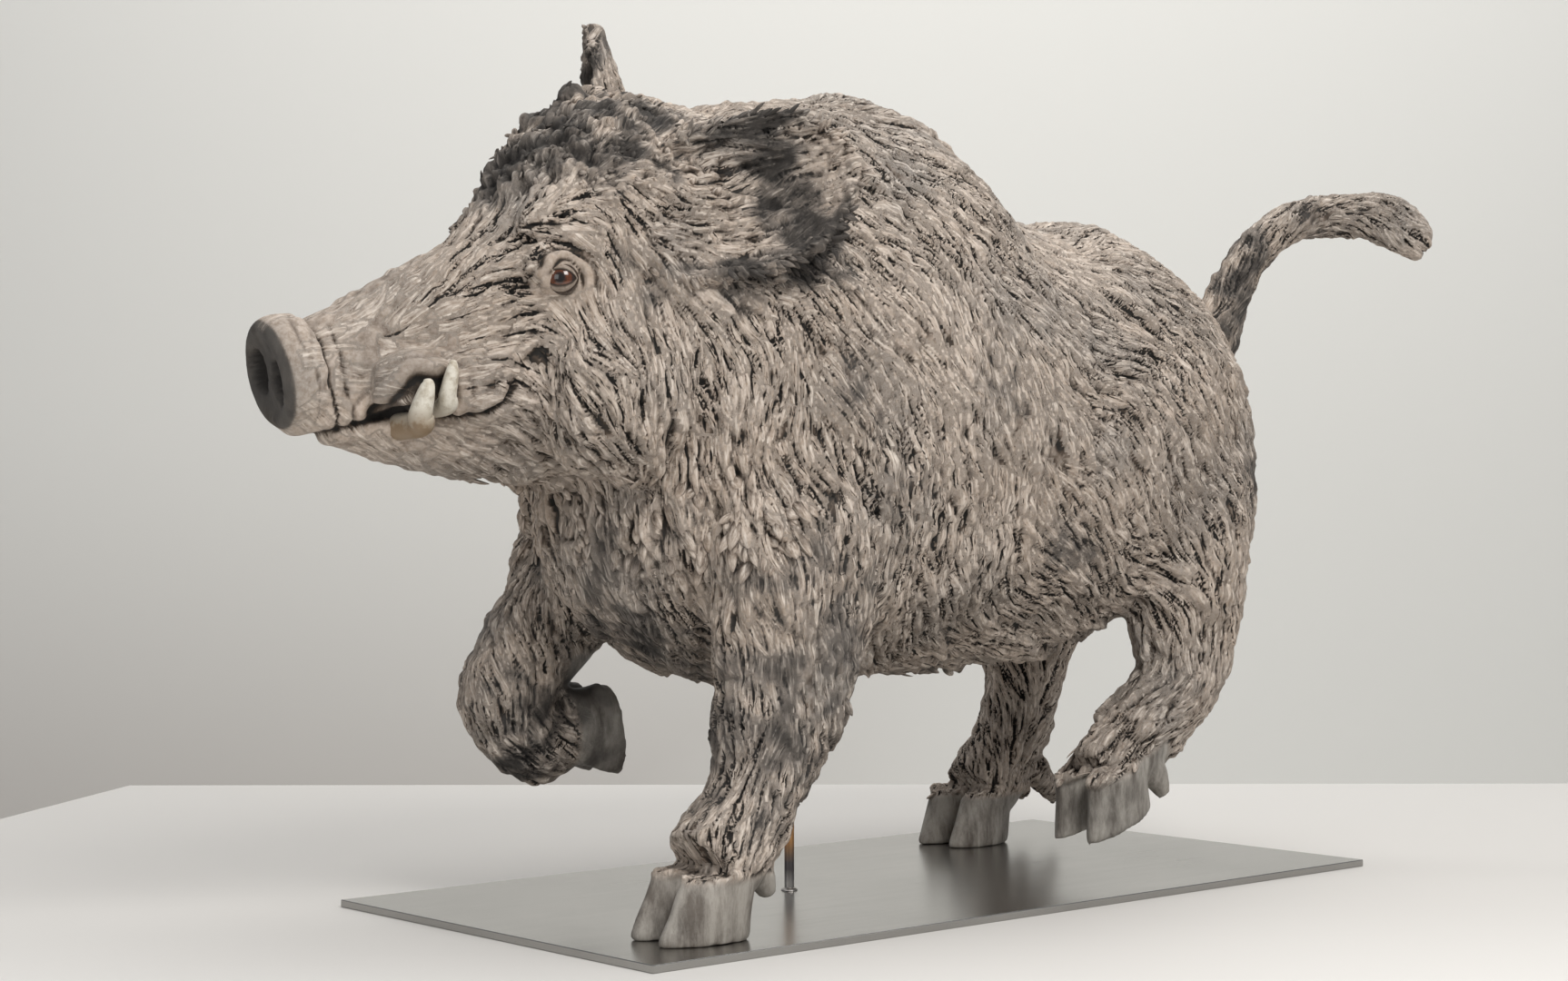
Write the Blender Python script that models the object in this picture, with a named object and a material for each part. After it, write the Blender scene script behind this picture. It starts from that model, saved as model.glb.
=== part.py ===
# Ceramic sculpture of a trotting wild boar, on a thin steel plate with a support rod.
# Metres, +Z up. The origin is the centre of the plate's underside. The boar faces -X,
# so its left side faces -Y.

import math

import bpy
import numpy as np
from mathutils.kdtree import KDTree

# Steel stand
PLATE_LENGTH = 0.800
PLATE_WIDTH = 0.400
PLATE_THICKNESS = 0.006
PLATE_EDGE_ROUND = 0.0006
ROD_DIAMETER = 0.008
ROD_FORWARD = 0.100  # from the plate's centre towards the boar's head
ROD_DEPTH_IN_BOAR = 0.050
WELD_DIAMETER = 0.0135
WELD_HEIGHT = 0.0022

# Ceramic boar
WITHERS_HEIGHT = 0.662  # from the soles to the top of the back
EYE_DIAMETER = 0.024
SKIN_CELL = 0.0042  # grid that the forms are fused on
BOAR_TRIANGLES = 8200

# Clearances
TOUCH_GAP = 0.0003  # between pieces that rest on each other
SOCKET_GAP = 0.0004  # around an eye in its socket
ROD_GAP = 0.0005  # around the rod in its hole
ROD_END_GAP = 0.002  # over the rod in its hole

# The figure's stations are in hundredths of the withers height, with z from the soles.
UNIT = WITHERS_HEIGHT / 100
SOLE_Z = PLATE_THICKNESS + TOUCH_GAP
HEAD_TURN = math.radians(7)  # to the boar's right
HEAD_PIVOT = (-34.0, 0.0)

LEFT, RIGHT = -1, 1

# Powers of the ovals that the sections are
BACK_POWER = 1.76
BELLY_POWER = 2.4
HEAD_POWER = 2.15

# Torso: x, back, belly, widest level, half width
TORSO = [
    (-47.5, 60.0, 43.0, 50.0, 6.0),
    (-44.5, 76.0, 36.5, 52.0, 14.5),
    (-39.0, 90.0, 31.0, 55.0, 20.0),
    (-30.0, 94.2, 26.6, 57.0, 23.5),
    (-17.0, 97.0, 26.0, 58.0, 25.5),
    (-6.0, 98.7, 26.8, 58.0, 26.3),
    (3.0, 96.0, 26.6, 58.0, 26.4),
    (8.6, 90.2, 26.4, 57.0, 26.2),
    (12.0, 86.8, 26.6, 56.0, 25.8),
    (18.0, 85.4, 26.6, 56.0, 25.4),
    (25.0, 84.0, 28.4, 57.0, 25.0),
    (34.0, 85.6, 31.0, 58.0, 24.6),
    (42.0, 84.0, 33.0, 58.0, 22.8),
    (49.4, 80.0, 36.0, 58.0, 19.4),
    (55.6, 74.4, 40.0, 57.0, 14.6),
    (60.6, 66.4, 45.0, 56.0, 10.2),
    (63.6, 59.3, 50.0, 55.0, 5.0),
]

# Head: top point x, z, bottom point x, z, half width, share of the height where it is widest
HEAD = [
    (-85.0, 66.0, -80.6, 55.4, 5.2, 0.50),
    (-81.5, 67.0, -76.4, 53.6, 5.0, 0.50),
    (-76.0, 70.0, -71.0, 52.0, 6.2, 0.44),
    (-69.0, 74.0, -63.0, 50.6, 8.2, 0.42),
    (-63.0, 77.2, -56.0, 50.4, 10.4, 0.44),
    (-58.0, 81.8, -49.5, 50.4, 12.8, 0.46),
    (-54.0, 88.2, -42.5, 49.6, 15.8, 0.46),
    (-46.6, 93.8, -35.0, 47.2, 18.6, 0.46),
    (-34.0, 94.6, -25.0, 46.0, 20.0, 0.46),
]

# Legs: x, y, z, half size fore and aft, half size sideways
LEFT_FORELEG = [
    (-24.0, -14.0, 62.0, 13.0, 7.0),
    (-28.0, -17.0, 48.0, 13.0, 8.2),
    (-31.0, -18.5, 35.0, 10.6, 7.8),
    (-33.5, -19.5, 26.0, 8.2, 6.8),
    (-36.0, -20.0, 19.5, 6.8, 6.0),
    (-38.6, -20.2, 14.2, 5.2, 4.9),
    (-42.0, -20.4, 10.4, 5.8, 5.3),
    (-45.2, -20.4, 7.4, 5.9, 5.3),
]
RIGHT_FORELEG = [
    (-24.0, 13.0, 62.0, 11.0, 7.0),
    (-29.5, 15.5, 48.0, 10.5, 7.6),
    (-36.0, 16.6, 37.5, 8.0, 6.6),
    (-42.0, 17.0, 29.8, 6.5, 5.8),
    (-45.8, 17.0, 24.2, 5.6, 5.3),
    (-43.4, 17.0, 19.8, 5.0, 4.8),
    (-40.0, 17.0, 18.4, 4.7, 4.6),
    (-37.6, 17.0, 19.4, 4.3, 4.3),
]
LEFT_HINDLEG = [
    (37.0, -11.0, 64.0, 15.0, 8.0),
    (39.4, -14.5, 50.0, 13.6, 9.0),
    (39.4, -16.2, 40.0, 10.8, 8.0),
    (38.8, -17.2, 31.0, 8.0, 6.4),
    (37.8, -17.6, 25.0, 6.5, 5.5),
    (32.0, -17.6, 19.2, 5.3, 4.7),
    (26.2, -17.6, 15.4, 5.1, 4.8),
    (23.2, -17.6, 12.4, 5.2, 4.9),
]
RIGHT_HINDLEG = [
    (40.0, 11.0, 64.0, 15.0, 8.0),
    (44.5, 14.5, 48.0, 13.5, 8.8),
    (46.6, 16.4, 37.0, 10.6, 7.6),
    (46.4, 17.4, 28.5, 7.4, 6.0),
    (45.2, 17.8, 21.0, 5.9, 5.1),
    (42.0, 17.9, 13.0, 5.2, 4.8),
    (38.2, 17.9, 8.8, 5.6, 5.2),
    (35.6, 17.9, 6.6, 5.4, 5.2),
]

# Hooves: middle of the coronet x, y, z, toe-down pitch and outward turn in degrees
HOOVES = {
    "left_fore": (-46.0, -20.4, 6.6, 0.0, -6.0),
    "right_fore": (-38.2, 17.0, 20.2, 100.0, 0.0),
    "left_hind": (21.6, -17.6, 13.4, 22.0, -4.0),
    "right_hind": (34.4, 17.9, 6.6, 0.0, 4.0),
}
HOOF_HEIGHT = 6.6
HOOF_LENGTH = 11.6
CLAW_WIDTH = 4.9
CLAW_SPLIT = 0.9

# Dewclaws: root x, y, z, tip x, y, z, radius at the root
DEWCLAWS = [
    (-39.4, -21.8, 8.2, -37.4, -21.6, 4.0, 1.9),
    (-39.6, -17.6, 8.2, -37.4, -16.4, 4.0, 1.9),
    (-38.4, 14.4, 21.0, -33.6, 13.6, 25.0, 2.2),
    (-38.4, 19.6, 21.0, -33.6, 20.4, 25.0, 2.2),
    (28.4, -20.0, 14.4, 30.8, -21.0, 10.0, 2.0),
    (28.4, -15.2, 14.4, 30.8, -14.2, 10.0, 2.0),
    (44.6, 15.4, 10.0, 49.0, 14.6, 5.0, 2.0),
    (44.6, 20.4, 10.0, 49.0, 21.2, 5.0, 2.0),
]

# Tail: x, y, z, half size up, half size sideways
TAIL = [
    (59.0, 0.0, 64.0, 4.4, 4.0),
    (64.8, 0.0, 68.2, 4.0, 3.6),
    (68.4, -0.3, 75.2, 3.5, 3.2),
    (72.8, -1.2, 83.2, 3.1, 2.9),
    (80.2, -3.0, 88.4, 3.0, 2.6),
    (89.0, -5.6, 90.2, 3.3, 2.4),
    (97.5, -8.4, 89.6, 4.2, 2.2),
    (103.5, -10.4, 86.2, 3.0, 1.8),
]

# Ears, as on the head before it is turned: root, tip and the way the cup opens
EARS = {
    "left": ((-46.0, -15.6, 79.0), (-24.6, -25.0, 86.6), (-0.62, -0.76, 0.2)),
    "right": ((-36.5, 13.0, 85.0), (-37.3, 15.0, 106.2), (-0.95, 0.3, 0.0)),
}
# Half width of each ear at equal steps from root to tip, and how deep its cup is
EAR_HALF_WIDTHS = {"left": (7.0, 8.2, 8.8, 8.6, 7.2, 1.8), "right": (5.6, 5.2, 4.6, 3.8, 2.6, 0.6)}
EAR_CUPS = {"left": 6.4, "right": 3.4}
EAR_WALL = 2.1

# Features of the face are given for its left side, before the head is turned
LOWER_TUSK = [
    (-72.2, -7.2, 54.3, 1.5),
    (-71.7, -8.8, 55.3, 1.45),
    (-71.4, -9.8, 57.0, 1.3),
    (-71.2, -10.5, 58.9, 1.05),
    (-71.0, -10.8, 60.2, 0.75),
    (-71.0, -10.7, 60.8, 0.4),
]
UPPER_TUSK = [
    (-69.4, -7.8, 56.4, 1.25),
    (-68.8, -9.2, 57.4, 1.15),
    (-68.4, -10.3, 59.2, 0.98),
    (-68.2, -10.8, 61.2, 0.78),
    (-68.0, -10.8, 62.4, 0.55),
    (-67.9, -10.7, 62.9, 0.3),
]
MOUTH = [
    (-81.0, -3.5, 54.2),
    (-75.0, -6.0, 56.4),
    (-70.0, -8.0, 57.0),
    (-65.0, -9.5, 57.0),
    (-61.8, -12.0, 58.2),
    (-60.2, -13.0, 60.2),
]
MOUTH_DEPTH = 1.3
MOUTH_RADIUS = 0.7
EYE_PLACE = (-56.3, -12.0, 73.0)
NOSTRILS = [(-84.6, -2.2, 60.3), (-84.9, 2.2, 61.7)]  # left and right, not quite level
NOSTRIL_DEPTH = 3.0
NOSTRIL_SIZE = (1.55, 2.3)

# Swellings: x, y, z and the half sizes of an egg shape
LIP_AND_LIDS = [
    (-71.0, -7.0, 60.4, 4.4, 3.5, 3.9),  # lip over the upper tusk
    (-55.0, -10.4, 73.0, 3.9, 2.9, 3.3),  # eyelids
]
HEAD_SWELLINGS = [
    (-63.6, -7.0, 60.6, 5.4, 4.2, 4.4),  # fold behind the mouth
    (-52.6, -8.0, 78.6, 6.4, 4.2, 4.2),  # brow
    (-47.0, -12.0, 59.8, 10.0, 7.4, 10.2),  # cheek
]
BODY_SWELLINGS = [
    (-22.0, 18.4, 54.0, 15.0, 8.0, 22.0),  # shoulder
    (41.0, 14.0, 55.0, 13.5, 7.6, 18.0),  # haunch
]
FOREHEAD_CLUMPS = [
    (-49.4, 3.6, 90.6, 2.4, 2.6, 2.4),
    (-51.2, 3.0, 87.8, 2.8, 3.0, 3.0),
    (-52.2, 2.6, 83.8, 2.6, 3.4, 3.6),
    (-49.0, -3.4, 89.6, 2.8, 2.8, 2.4),
    (-45.0, 1.4, 93.0, 2.8, 3.0, 2.2),
    (-41.4, 6.0, 94.2, 3.0, 3.0, 2.4),
    (-46.6, -9.0, 85.6, 3.0, 2.8, 3.2),
]

SNOUT_DISC = [
    # along the snout's axis from behind the rim to the face, radius up, down and sideways
    (-4.6, 5.9, 6.2, 5.4),
    (-3.4, 6.5, 6.8, 6.1),
    (-2.0, 6.7, 6.6, 6.3),
    (-0.8, 6.5, 5.9, 5.8),
    (0.1, 6.0, 5.2, 5.0),
    (0.4, 5.4, 4.6, 4.3),
    (0.1, 4.7, 4.0, 3.7),
    (-0.2, 3.9, 3.4, 3.0),
    (-0.2, 0.6, 0.6, 0.6),
]
SNOUT_PLACE = (-84.6, 0.0, 60.9)
SNOUT_TILT = math.radians(14)

# Hair locks: random darts in the figure's box, how near the skin one must fall to become a
# lock, and each lock's size and how far it stands out
FIGURE_BOX = ((-88.0, -28.0, 6.0), (106.0, 28.0, 107.0))
LOCK_DARTS = 6200
DART_REACH = 2.5
LOCK_LENGTH = 12.0
LOCK_WIDTH = 4.4
LOCK_HEIGHT = 1.3

# Where the lie of the hair changes
FLANK_LEVEL = 45.0
SPINE_LEVEL = 96.0
BELLY_LEVEL = 38.0
SNOUT_START = -58.0
TAIL_START = 66.0


def clear_scene():
    for old in list(bpy.data.objects):
        bpy.data.objects.remove(old, do_unlink=True)


def material(name, colour, roughness, metallic):
    made = bpy.data.materials.new(name)
    made.use_nodes = True
    shader = made.node_tree.nodes["Principled BSDF"]
    shader.inputs["Base Color"].default_value = (*colour, 1.0)
    shader.inputs["Roughness"].default_value = roughness
    shader.inputs["Metallic"].default_value = metallic
    return made


def smooth_rows(rows, steps):
    """A Catmull-Rom curve through the rows, with this many steps to each span."""
    rows = np.array(rows, float)
    ends = np.vstack([2 * rows[0] - rows[1], rows, 2 * rows[-1] - rows[-2]])
    out = []
    for i in range(len(rows) - 1):
        a, b, c, d = ends[i : i + 4]
        t = np.arange(steps)[:, None] / steps
        out.append(
            0.5 * (2 * b + (c - a) * t + (2 * a - 5 * b + 4 * c - d) * t**2 + (3 * b - a - 3 * c + d) * t**3)
        )
    return np.vstack(out + [rows[-1:]])


def add_object(name, points, faces):
    mesh = bpy.data.meshes.new(name)
    mesh.from_pydata(points.tolist(), [], faces)
    mesh.validate()
    made = bpy.data.objects.new(name, mesh)
    bpy.context.scene.collection.objects.link(made)
    return made


def skin(name, rings):
    """A closed skin over rings of points, an array of ring, point, xyz, with flat ends."""
    count, around = rings.shape[:2]
    faces = []
    for i in range(count - 1):
        for j in range(around):
            k = (j + 1) % around
            faces.append((i * around + j, i * around + k, (i + 1) * around + k, (i + 1) * around + j))
    faces.append(tuple(reversed(range(around))))
    faces.append(tuple((count - 1) * around + j for j in range(around)))
    made = add_object(name, rings.reshape(-1, 3), faces)
    if signed_volume(made.data) < 0:
        made.data.flip_normals()
    return made


def signed_volume(mesh):
    mesh.calc_loop_triangles()
    points = np.empty(len(mesh.vertices) * 3, np.float32)
    mesh.vertices.foreach_get("co", points)
    points = points.reshape(-1, 3).astype(float)
    corners = np.empty(len(mesh.loop_triangles) * 3, np.int32)
    mesh.loop_triangles.foreach_get("vertices", corners)
    a, b, c = (points[corners.reshape(-1, 3)[:, i]] for i in range(3))
    return float(np.einsum("ij,ij->i", a, np.cross(b, c)).sum() / 6)


def torso():
    rows = smooth_rows(TORSO, 4)
    x, back, belly, level, width = (rows[:, i : i + 1] for i in range(5))
    angle = np.linspace(0, 2 * math.pi, 44, endpoint=False)[None]
    up, side = np.cos(angle), np.sin(angle)
    share = 2 / np.where(up > 0, BACK_POWER, BELLY_POWER)
    side = np.sign(side) * np.abs(side) ** share
    rise = np.sign(up) * np.abs(up) ** share
    z = level + np.where(up > 0, back - level, level - belly) * rise
    y = width * side
    return skin("torso", np.stack([x + 0 * y, y, z], -1))


def turned_head(points, turn=-HEAD_TURN):
    """Points of the head, given facing straight on, turned about the neck."""
    points = np.array(points, float)
    x, y = points[..., 0] - HEAD_PIVOT[0], points[..., 1] - HEAD_PIVOT[1]
    c, s = math.cos(turn), math.sin(turn)
    turned = points.copy()
    turned[..., 0] = HEAD_PIVOT[0] + x * c - y * s
    turned[..., 1] = HEAD_PIVOT[1] + x * s + y * c
    return turned


def head():
    rows = smooth_rows(HEAD, 4)
    angle = np.linspace(0, 2 * math.pi, 36, endpoint=False)[None]
    up, side = np.cos(angle), np.sin(angle)
    up = np.sign(up) * np.abs(up) ** (2 / HEAD_POWER)
    side = np.sign(side) * np.abs(side) ** (2 / HEAD_POWER)
    top, bottom = rows[:, None, 0:2], rows[:, None, 2:4]
    width, share = rows[:, 4:5], rows[:, 5:6]
    along = np.where(up > 0, share + (1 - share) * up, share + share * up)[..., None]
    profile = bottom + (top - bottom) * along
    rings = np.stack([profile[..., 0], width * side, profile[..., 1]], -1)
    return skin("head", turned_head(rings))


def tube(name, stations, around=20, steps=4, turn=None):
    """A limb along stations of x, y, z, half size across the path and half size sideways."""
    rows = smooth_rows(stations, steps)
    path = rows[:, :3]
    tangent = np.gradient(path, axis=0)
    tangent /= np.linalg.norm(tangent, axis=1, keepdims=True)
    sideways = np.cross(tangent, np.cross([0.0, 1.0, 0.0], tangent))
    sideways /= np.linalg.norm(sideways, axis=1, keepdims=True)
    across = np.cross(sideways, tangent)
    angle = np.linspace(0, 2 * math.pi, around, endpoint=False)[None, :, None]
    rings = (
        path[:, None]
        + across[:, None] * rows[:, None, 3:4] * np.cos(angle)
        + sideways[:, None] * rows[:, None, 4:5] * np.sin(angle)
    )
    return skin(name, turn(rings) if turn else rings)


def round_tube(name, stations, turn=None):
    """A tube whose stations are x, y, z and one radius."""
    return tube(name, [(x, y, z, r, r) for x, y, z, r in stations], around=12, turn=turn)


def other_side(stations):
    return [(row[0], -row[1], *row[2:]) for row in stations]


def egg(name, row, turn=None):
    """An egg shape about x, y, z with three half sizes."""
    centre, size = np.array(row[:3]), np.array(row[3:6])
    slope = np.linspace(0.12, math.pi - 0.12, 9)[:, None]
    angle = np.linspace(0, 2 * math.pi, 18, endpoint=False)[None]
    ball = np.stack(
        [np.sin(slope) * np.cos(angle), np.sin(slope) * np.sin(angle), np.cos(slope) + 0 * angle], -1
    )
    rings = centre + ball * size
    return skin(name, turn(rings) if turn else rings)


def claw(name, place, inward):
    """One half of a cloven hoof, as rings from the sole up to the coronet."""
    x, y, z, pitch, yaw = place
    angle = np.linspace(0, 2 * math.pi, 24, endpoint=False)
    toe = np.cos(angle)
    share = np.array([0.0, 0.08, 0.45, 0.8, 1.0, 1.12])[:, None]
    length = HOOF_LENGTH / 2 * (1.0 - 0.20 * share) * np.where(share == 0, 0.95, 1.0)
    width = CLAW_WIDTH / 2 * (1.0 - 0.25 * np.clip(toe, 0, 1) ** 2) * (1.0 + 0.06 * share)
    rings = np.stack(
        [
            -toe * length - 1.6 + 1.9 * share,
            np.sin(angle) * width + inward * (CLAW_WIDTH + CLAW_SPLIT) / 2,
            (share - 1.0) * HOOF_HEIGHT + 0 * toe,
        ],
        -1,
    )
    p, w = math.radians(pitch), math.radians(yaw)
    tip = np.array([[math.cos(p), 0, math.sin(-p)], [0, 1, 0], [math.sin(p), 0, math.cos(p)]])
    turn = np.array([[math.cos(w), -math.sin(w), 0], [math.sin(w), math.cos(w), 0], [0, 0, 1]])
    return skin(name, rings @ (turn @ tip).T + np.array([x, y, z]))


def ear(name, side):
    """A cupped leaf from root to tip, a curved wall of even thickness."""
    root, tip, opens = (np.array(v, float) for v in EARS[side])
    axis = tip - root
    opens = opens - axis * (opens @ axis) / (axis @ axis)
    opens /= np.linalg.norm(opens)
    across = np.cross(axis, opens) / np.linalg.norm(axis)
    s = np.linspace(0, 1, 14)[:, None]
    half = np.interp(s, np.linspace(0, 1, 6), EAR_HALF_WIDTHS[side])
    cup = EAR_CUPS[side] * (1 - s) ** 0.6 + 0.4
    wall = EAR_WALL * (1 - 0.45 * s)
    v = np.linspace(-1, 1, 13)[None]
    inner = np.stack([v * half, -cup * (1 - v**2)], -1)
    outer = np.stack([-v * (half + 0.4 * wall), -(cup + wall) * (1 - v**2) - 0.5 * wall], -1)
    flat = np.concatenate([inner, outer], 1)
    rings = root + axis * s[..., None] + flat[..., :1] * across + flat[..., 1:] * opens
    return skin(name, turned_head(rings))


def snout_axes():
    forward = np.array([-math.cos(SNOUT_TILT), 0, -math.sin(SNOUT_TILT)])
    upward = np.array([-math.sin(SNOUT_TILT), 0, math.cos(SNOUT_TILT)])
    return forward, upward, np.array([0.0, 1.0, 0.0])


def snout_disc():
    rows = smooth_rows(SNOUT_DISC, 2)[:, None]
    angle = np.linspace(0, 2 * math.pi, 28, endpoint=False)[None, :, None]
    forward, upward, sideways = snout_axes()
    rise = np.cos(angle)
    rings = (
        np.array(SNOUT_PLACE)
        + forward * rows[..., 0:1]
        + upward * np.where(rise > 0, rows[..., 1:2], rows[..., 2:3]) * rise
        + sideways * rows[..., 3:4] * np.sin(angle)
    )
    return skin("snout_disc", turned_head(rings))


def apply_modifiers(obj):
    bpy.context.view_layer.update()
    graph = bpy.context.evaluated_depsgraph_get()
    finished = bpy.data.meshes.new_from_object(obj.evaluated_get(graph))
    obj.modifiers.clear()
    obj.data = finished


def fused(name, forms, rounds):
    """One closed skin over forms that overlap, then smoothed."""
    points, faces = [], []
    start = 0
    for form in forms:
        points.append(read_points(form.data))
        faces += [tuple(start + v for v in polygon.vertices) for polygon in form.data.polygons]
        start += len(points[-1])
        bpy.data.objects.remove(form, do_unlink=True)
    made = add_object(name, np.vstack(points), faces)
    remesh = made.modifiers.new("fuse", "REMESH")
    remesh.mode = "VOXEL"
    remesh.voxel_size = SKIN_CELL / UNIT
    smooth = made.modifiers.new("round", "SMOOTH")
    smooth.factor = 0.5
    smooth.iterations = rounds
    apply_modifiers(made)
    return made


def both_sides(name, rows):
    """Egg shapes of the face, on the left side and on the right."""
    made = []
    for n, row in enumerate(rows):
        made.append(egg(f"{name}_left_{n}", row, turned_head))
        made.append(egg(f"{name}_right_{n}", other_side([row])[0], turned_head))
    return made


def boar_forms():
    trunk = [
        torso(),
        head(),
        tube("left_foreleg", LEFT_FORELEG),
        tube("right_foreleg", RIGHT_FORELEG),
        tube("left_hindleg", LEFT_HINDLEG),
        tube("right_hindleg", RIGHT_HINDLEG),
        tube("tail", TAIL, around=16),
    ]
    for n, row in enumerate(BODY_SWELLINGS):
        trunk += [egg(f"swelling_{n}_right", row), egg(f"swelling_{n}_left", other_side([row])[0])]
    trunk += both_sides("head", HEAD_SWELLINGS)
    body = fused("trunk", trunk, 14)
    details = [body, snout_disc(), ear("left_ear", "left"), ear("right_ear", "right")]
    details += both_sides("face", LIP_AND_LIDS)
    details += [egg(f"clump_{n}", row, turned_head) for n, row in enumerate(FOREHEAD_CLUMPS)]
    for name, place in HOOVES.items():
        details += [claw(f"{name}_claw_{n}", place, inward) for n, inward in enumerate((-1, 1))]
    for n, row in enumerate(DEWCLAWS):
        root, tip, radius = np.array(row[:3]), np.array(row[3:6]), row[6]
        rows = [(*(root + (tip - root) * s), radius * (1 - 0.55 * s**2)) for s in (0, 0.4, 0.8, 1.0)]
        details.append(round_tube(f"dewclaw_{n}", rows))
    for n, tusk in enumerate((LOWER_TUSK, UPPER_TUSK)):
        details.append(round_tube(f"left_tusk_{n}", tusk, turned_head))
        details.append(round_tube(f"right_tusk_{n}", other_side(tusk), turned_head))
    return fused("boar", details, 2)


def read_points(mesh):
    flat = np.empty(len(mesh.vertices) * 3, np.float32)
    mesh.vertices.foreach_get("co", flat)
    return flat.reshape(-1, 3).astype(float)


def read_normals(mesh):
    flat = np.empty(len(mesh.vertices) * 3, np.float32)
    mesh.vertex_normals.foreach_get("vector", flat)
    return flat.reshape(-1, 3).astype(float)


def smooth_step(low, high, value):
    t = np.clip((value - low) / (high - low), 0, 1)
    return t * t * (3 - 2 * t)


def hair_flow(points):
    """The way the hair lies: back along the snout and spine, down the flanks and legs."""
    x, y, z = points.T
    height = smooth_step(FLANK_LEVEL, SPINE_LEVEL, z)
    snout = smooth_step(SNOUT_START, SNOUT_START - 16, x)
    legs = smooth_step(BELLY_LEVEL, BELLY_LEVEL - 10, z)
    tail = smooth_step(TAIL_START, TAIL_START + 6, x)
    back = 0.35 + 0.75 * height**2 + 1.4 * snout - 0.25 * legs
    down = 1.0 - 0.55 * height**3 - 0.6 * snout
    out = 0.5 * np.sign(y) * height * smooth_step(SPINE_LEVEL - 26, SPINE_LEVEL - 6, z)
    flow = np.stack([back, out, -down], -1)
    flow[tail > 0.5] = (0.8, -0.2, 0.6)
    return flow / np.linalg.norm(flow, axis=1, keepdims=True)


def hair_height(points):
    """How far locks stand out at each place, as a share of the largest."""
    x, y, z = points.T
    ahead = turned_head(points, HEAD_TURN)
    share = np.full(len(points), 0.62)
    share = np.where((x < -36) & (x > -62) & (z < 62), 1.0, share)
    share = np.where((z < 34) & (x > -34) & (x < 34), 1.0, share)
    share = np.where(z < 26, 0.45, share)
    share = np.where(x > TAIL_START, 0.4, share)
    share = share * smooth_step(8.0, 15.0, z)
    share = share * smooth_step(-69.0, -58.0, ahead[:, 0])
    eye = np.linalg.norm((ahead - np.array(EYE_PLACE)) * [1, 0.4, 1], axis=1)
    eye_right = np.linalg.norm((ahead - np.array(other_side([EYE_PLACE])[0])) * [1, 0.4, 1], axis=1)
    return share * smooth_step(3.0, 7.0, np.minimum(eye, eye_right))


def lock_relief(points, normals):
    """Overlapping locks: each rises along the hair and ends in a rounded drop."""
    rng = np.random.default_rng(7)
    darts = rng.uniform(*FIGURE_BOX, (LOCK_DARTS, 3))
    sizes = rng.uniform([0.7, 0.7, -0.03, 0.6], [1.3, 1.3, 0.03, 1.0], (LOCK_DARTS, 4))
    tree = KDTree(len(points))
    for i, point in enumerate(points):
        tree.insert(point, i)
    tree.balance()
    flow = hair_flow(points)
    relief = np.zeros(len(points))
    for dart, (longer, wider, bend, strength) in zip(darts, sizes):
        centre, i, gap = tree.find(dart)
        if gap > DART_REACH:
            continue
        normal = normals[i]
        along = flow[i] - normal * (flow[i] @ normal)
        along /= np.linalg.norm(along) + 1e-9
        across = np.cross(normal, along)
        length, width = LOCK_LENGTH * longer, LOCK_WIDTH * wider
        near = np.array([found[1] for found in tree.find_range(centre, length * 0.6)])
        offset = points[near] - points[i]
        u = offset @ along / length + 0.5
        v = (offset @ across + bend * (offset @ along) ** 2) / (width / 2)
        narrow = 1.15 - 0.75 * smooth_step(0.35, 1.0, u)
        dome = np.clip(1 - (v / narrow) ** 2, 0, 1) ** 0.7
        rise = smooth_step(0.0, 0.8, u) * smooth_step(1.04, 0.9, u)
        lock = dome * rise * strength * (normals[near] @ normal > 0.3)
        relief[near] = np.maximum(relief[near], lock)
    return relief * LOCK_HEIGHT * hair_height(points)


def mouth_cut(points):
    """How deep the line of the mouth cuts in at each point."""
    ahead = turned_head(points, HEAD_TURN)
    flat = ahead[:, [0, 2]]
    line = np.array(MOUTH)[:, [0, 2]]
    nearest = np.full(len(flat), 1e9)
    for a, b in zip(line[:-1], line[1:]):
        t = np.clip(((flat - a) @ (b - a)) / ((b - a) @ (b - a)), 0, 1)
        nearest = np.minimum(nearest, np.linalg.norm(flat - a - t[:, None] * (b - a), axis=1))
    depth = MOUTH_DEPTH * np.exp(-((nearest / MOUTH_RADIUS) ** 2))
    for tusk in (LOWER_TUSK, UPPER_TUSK):
        for x, y, z, radius in tusk:
            away = np.linalg.norm(np.abs(ahead) - np.abs([x, y, z]), axis=1)
            depth = depth * smooth_step(1.2 * radius, 2.0 * radius, away)
    return np.where((ahead[:, 0] < -58) & (ahead[:, 2] < 64), depth, 0.0)


def nostril_cut(points):
    """How deep each nostril goes at each point, along the snout."""
    ahead = turned_head(points, HEAD_TURN)
    forward, upward, sideways = snout_axes()
    depth = np.zeros(len(points))
    for place in NOSTRILS:
        offset = ahead - np.array(place)
        across = (offset @ sideways) / NOSTRIL_SIZE[0]
        up = (offset @ upward) / NOSTRIL_SIZE[1]
        inside = np.exp(-((across**2 + up**2) ** 2)) * (np.abs(offset @ forward) < 2.2)
        depth = np.maximum(depth, NOSTRIL_DEPTH * inside)
    return depth


def carved(obj):
    """Raises the locks and cuts the mouth and nostrils, then goes to metres."""
    points, normals = read_points(obj.data), read_normals(obj.data)
    raised = points + normals * (lock_relief(points, normals) - mouth_cut(points))[:, None]
    forward = turned_head(snout_axes()[0] + np.array([*HEAD_PIVOT, 0.0])) - np.array([*HEAD_PIVOT, 0.0])
    raised -= forward * nostril_cut(points)[:, None]
    metres = raised * UNIT + np.array([0.0, 0.0, SOLE_Z])
    obj.data.vertices.foreach_set("co", metres.astype(np.float32).ravel())
    obj.data.update()


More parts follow.
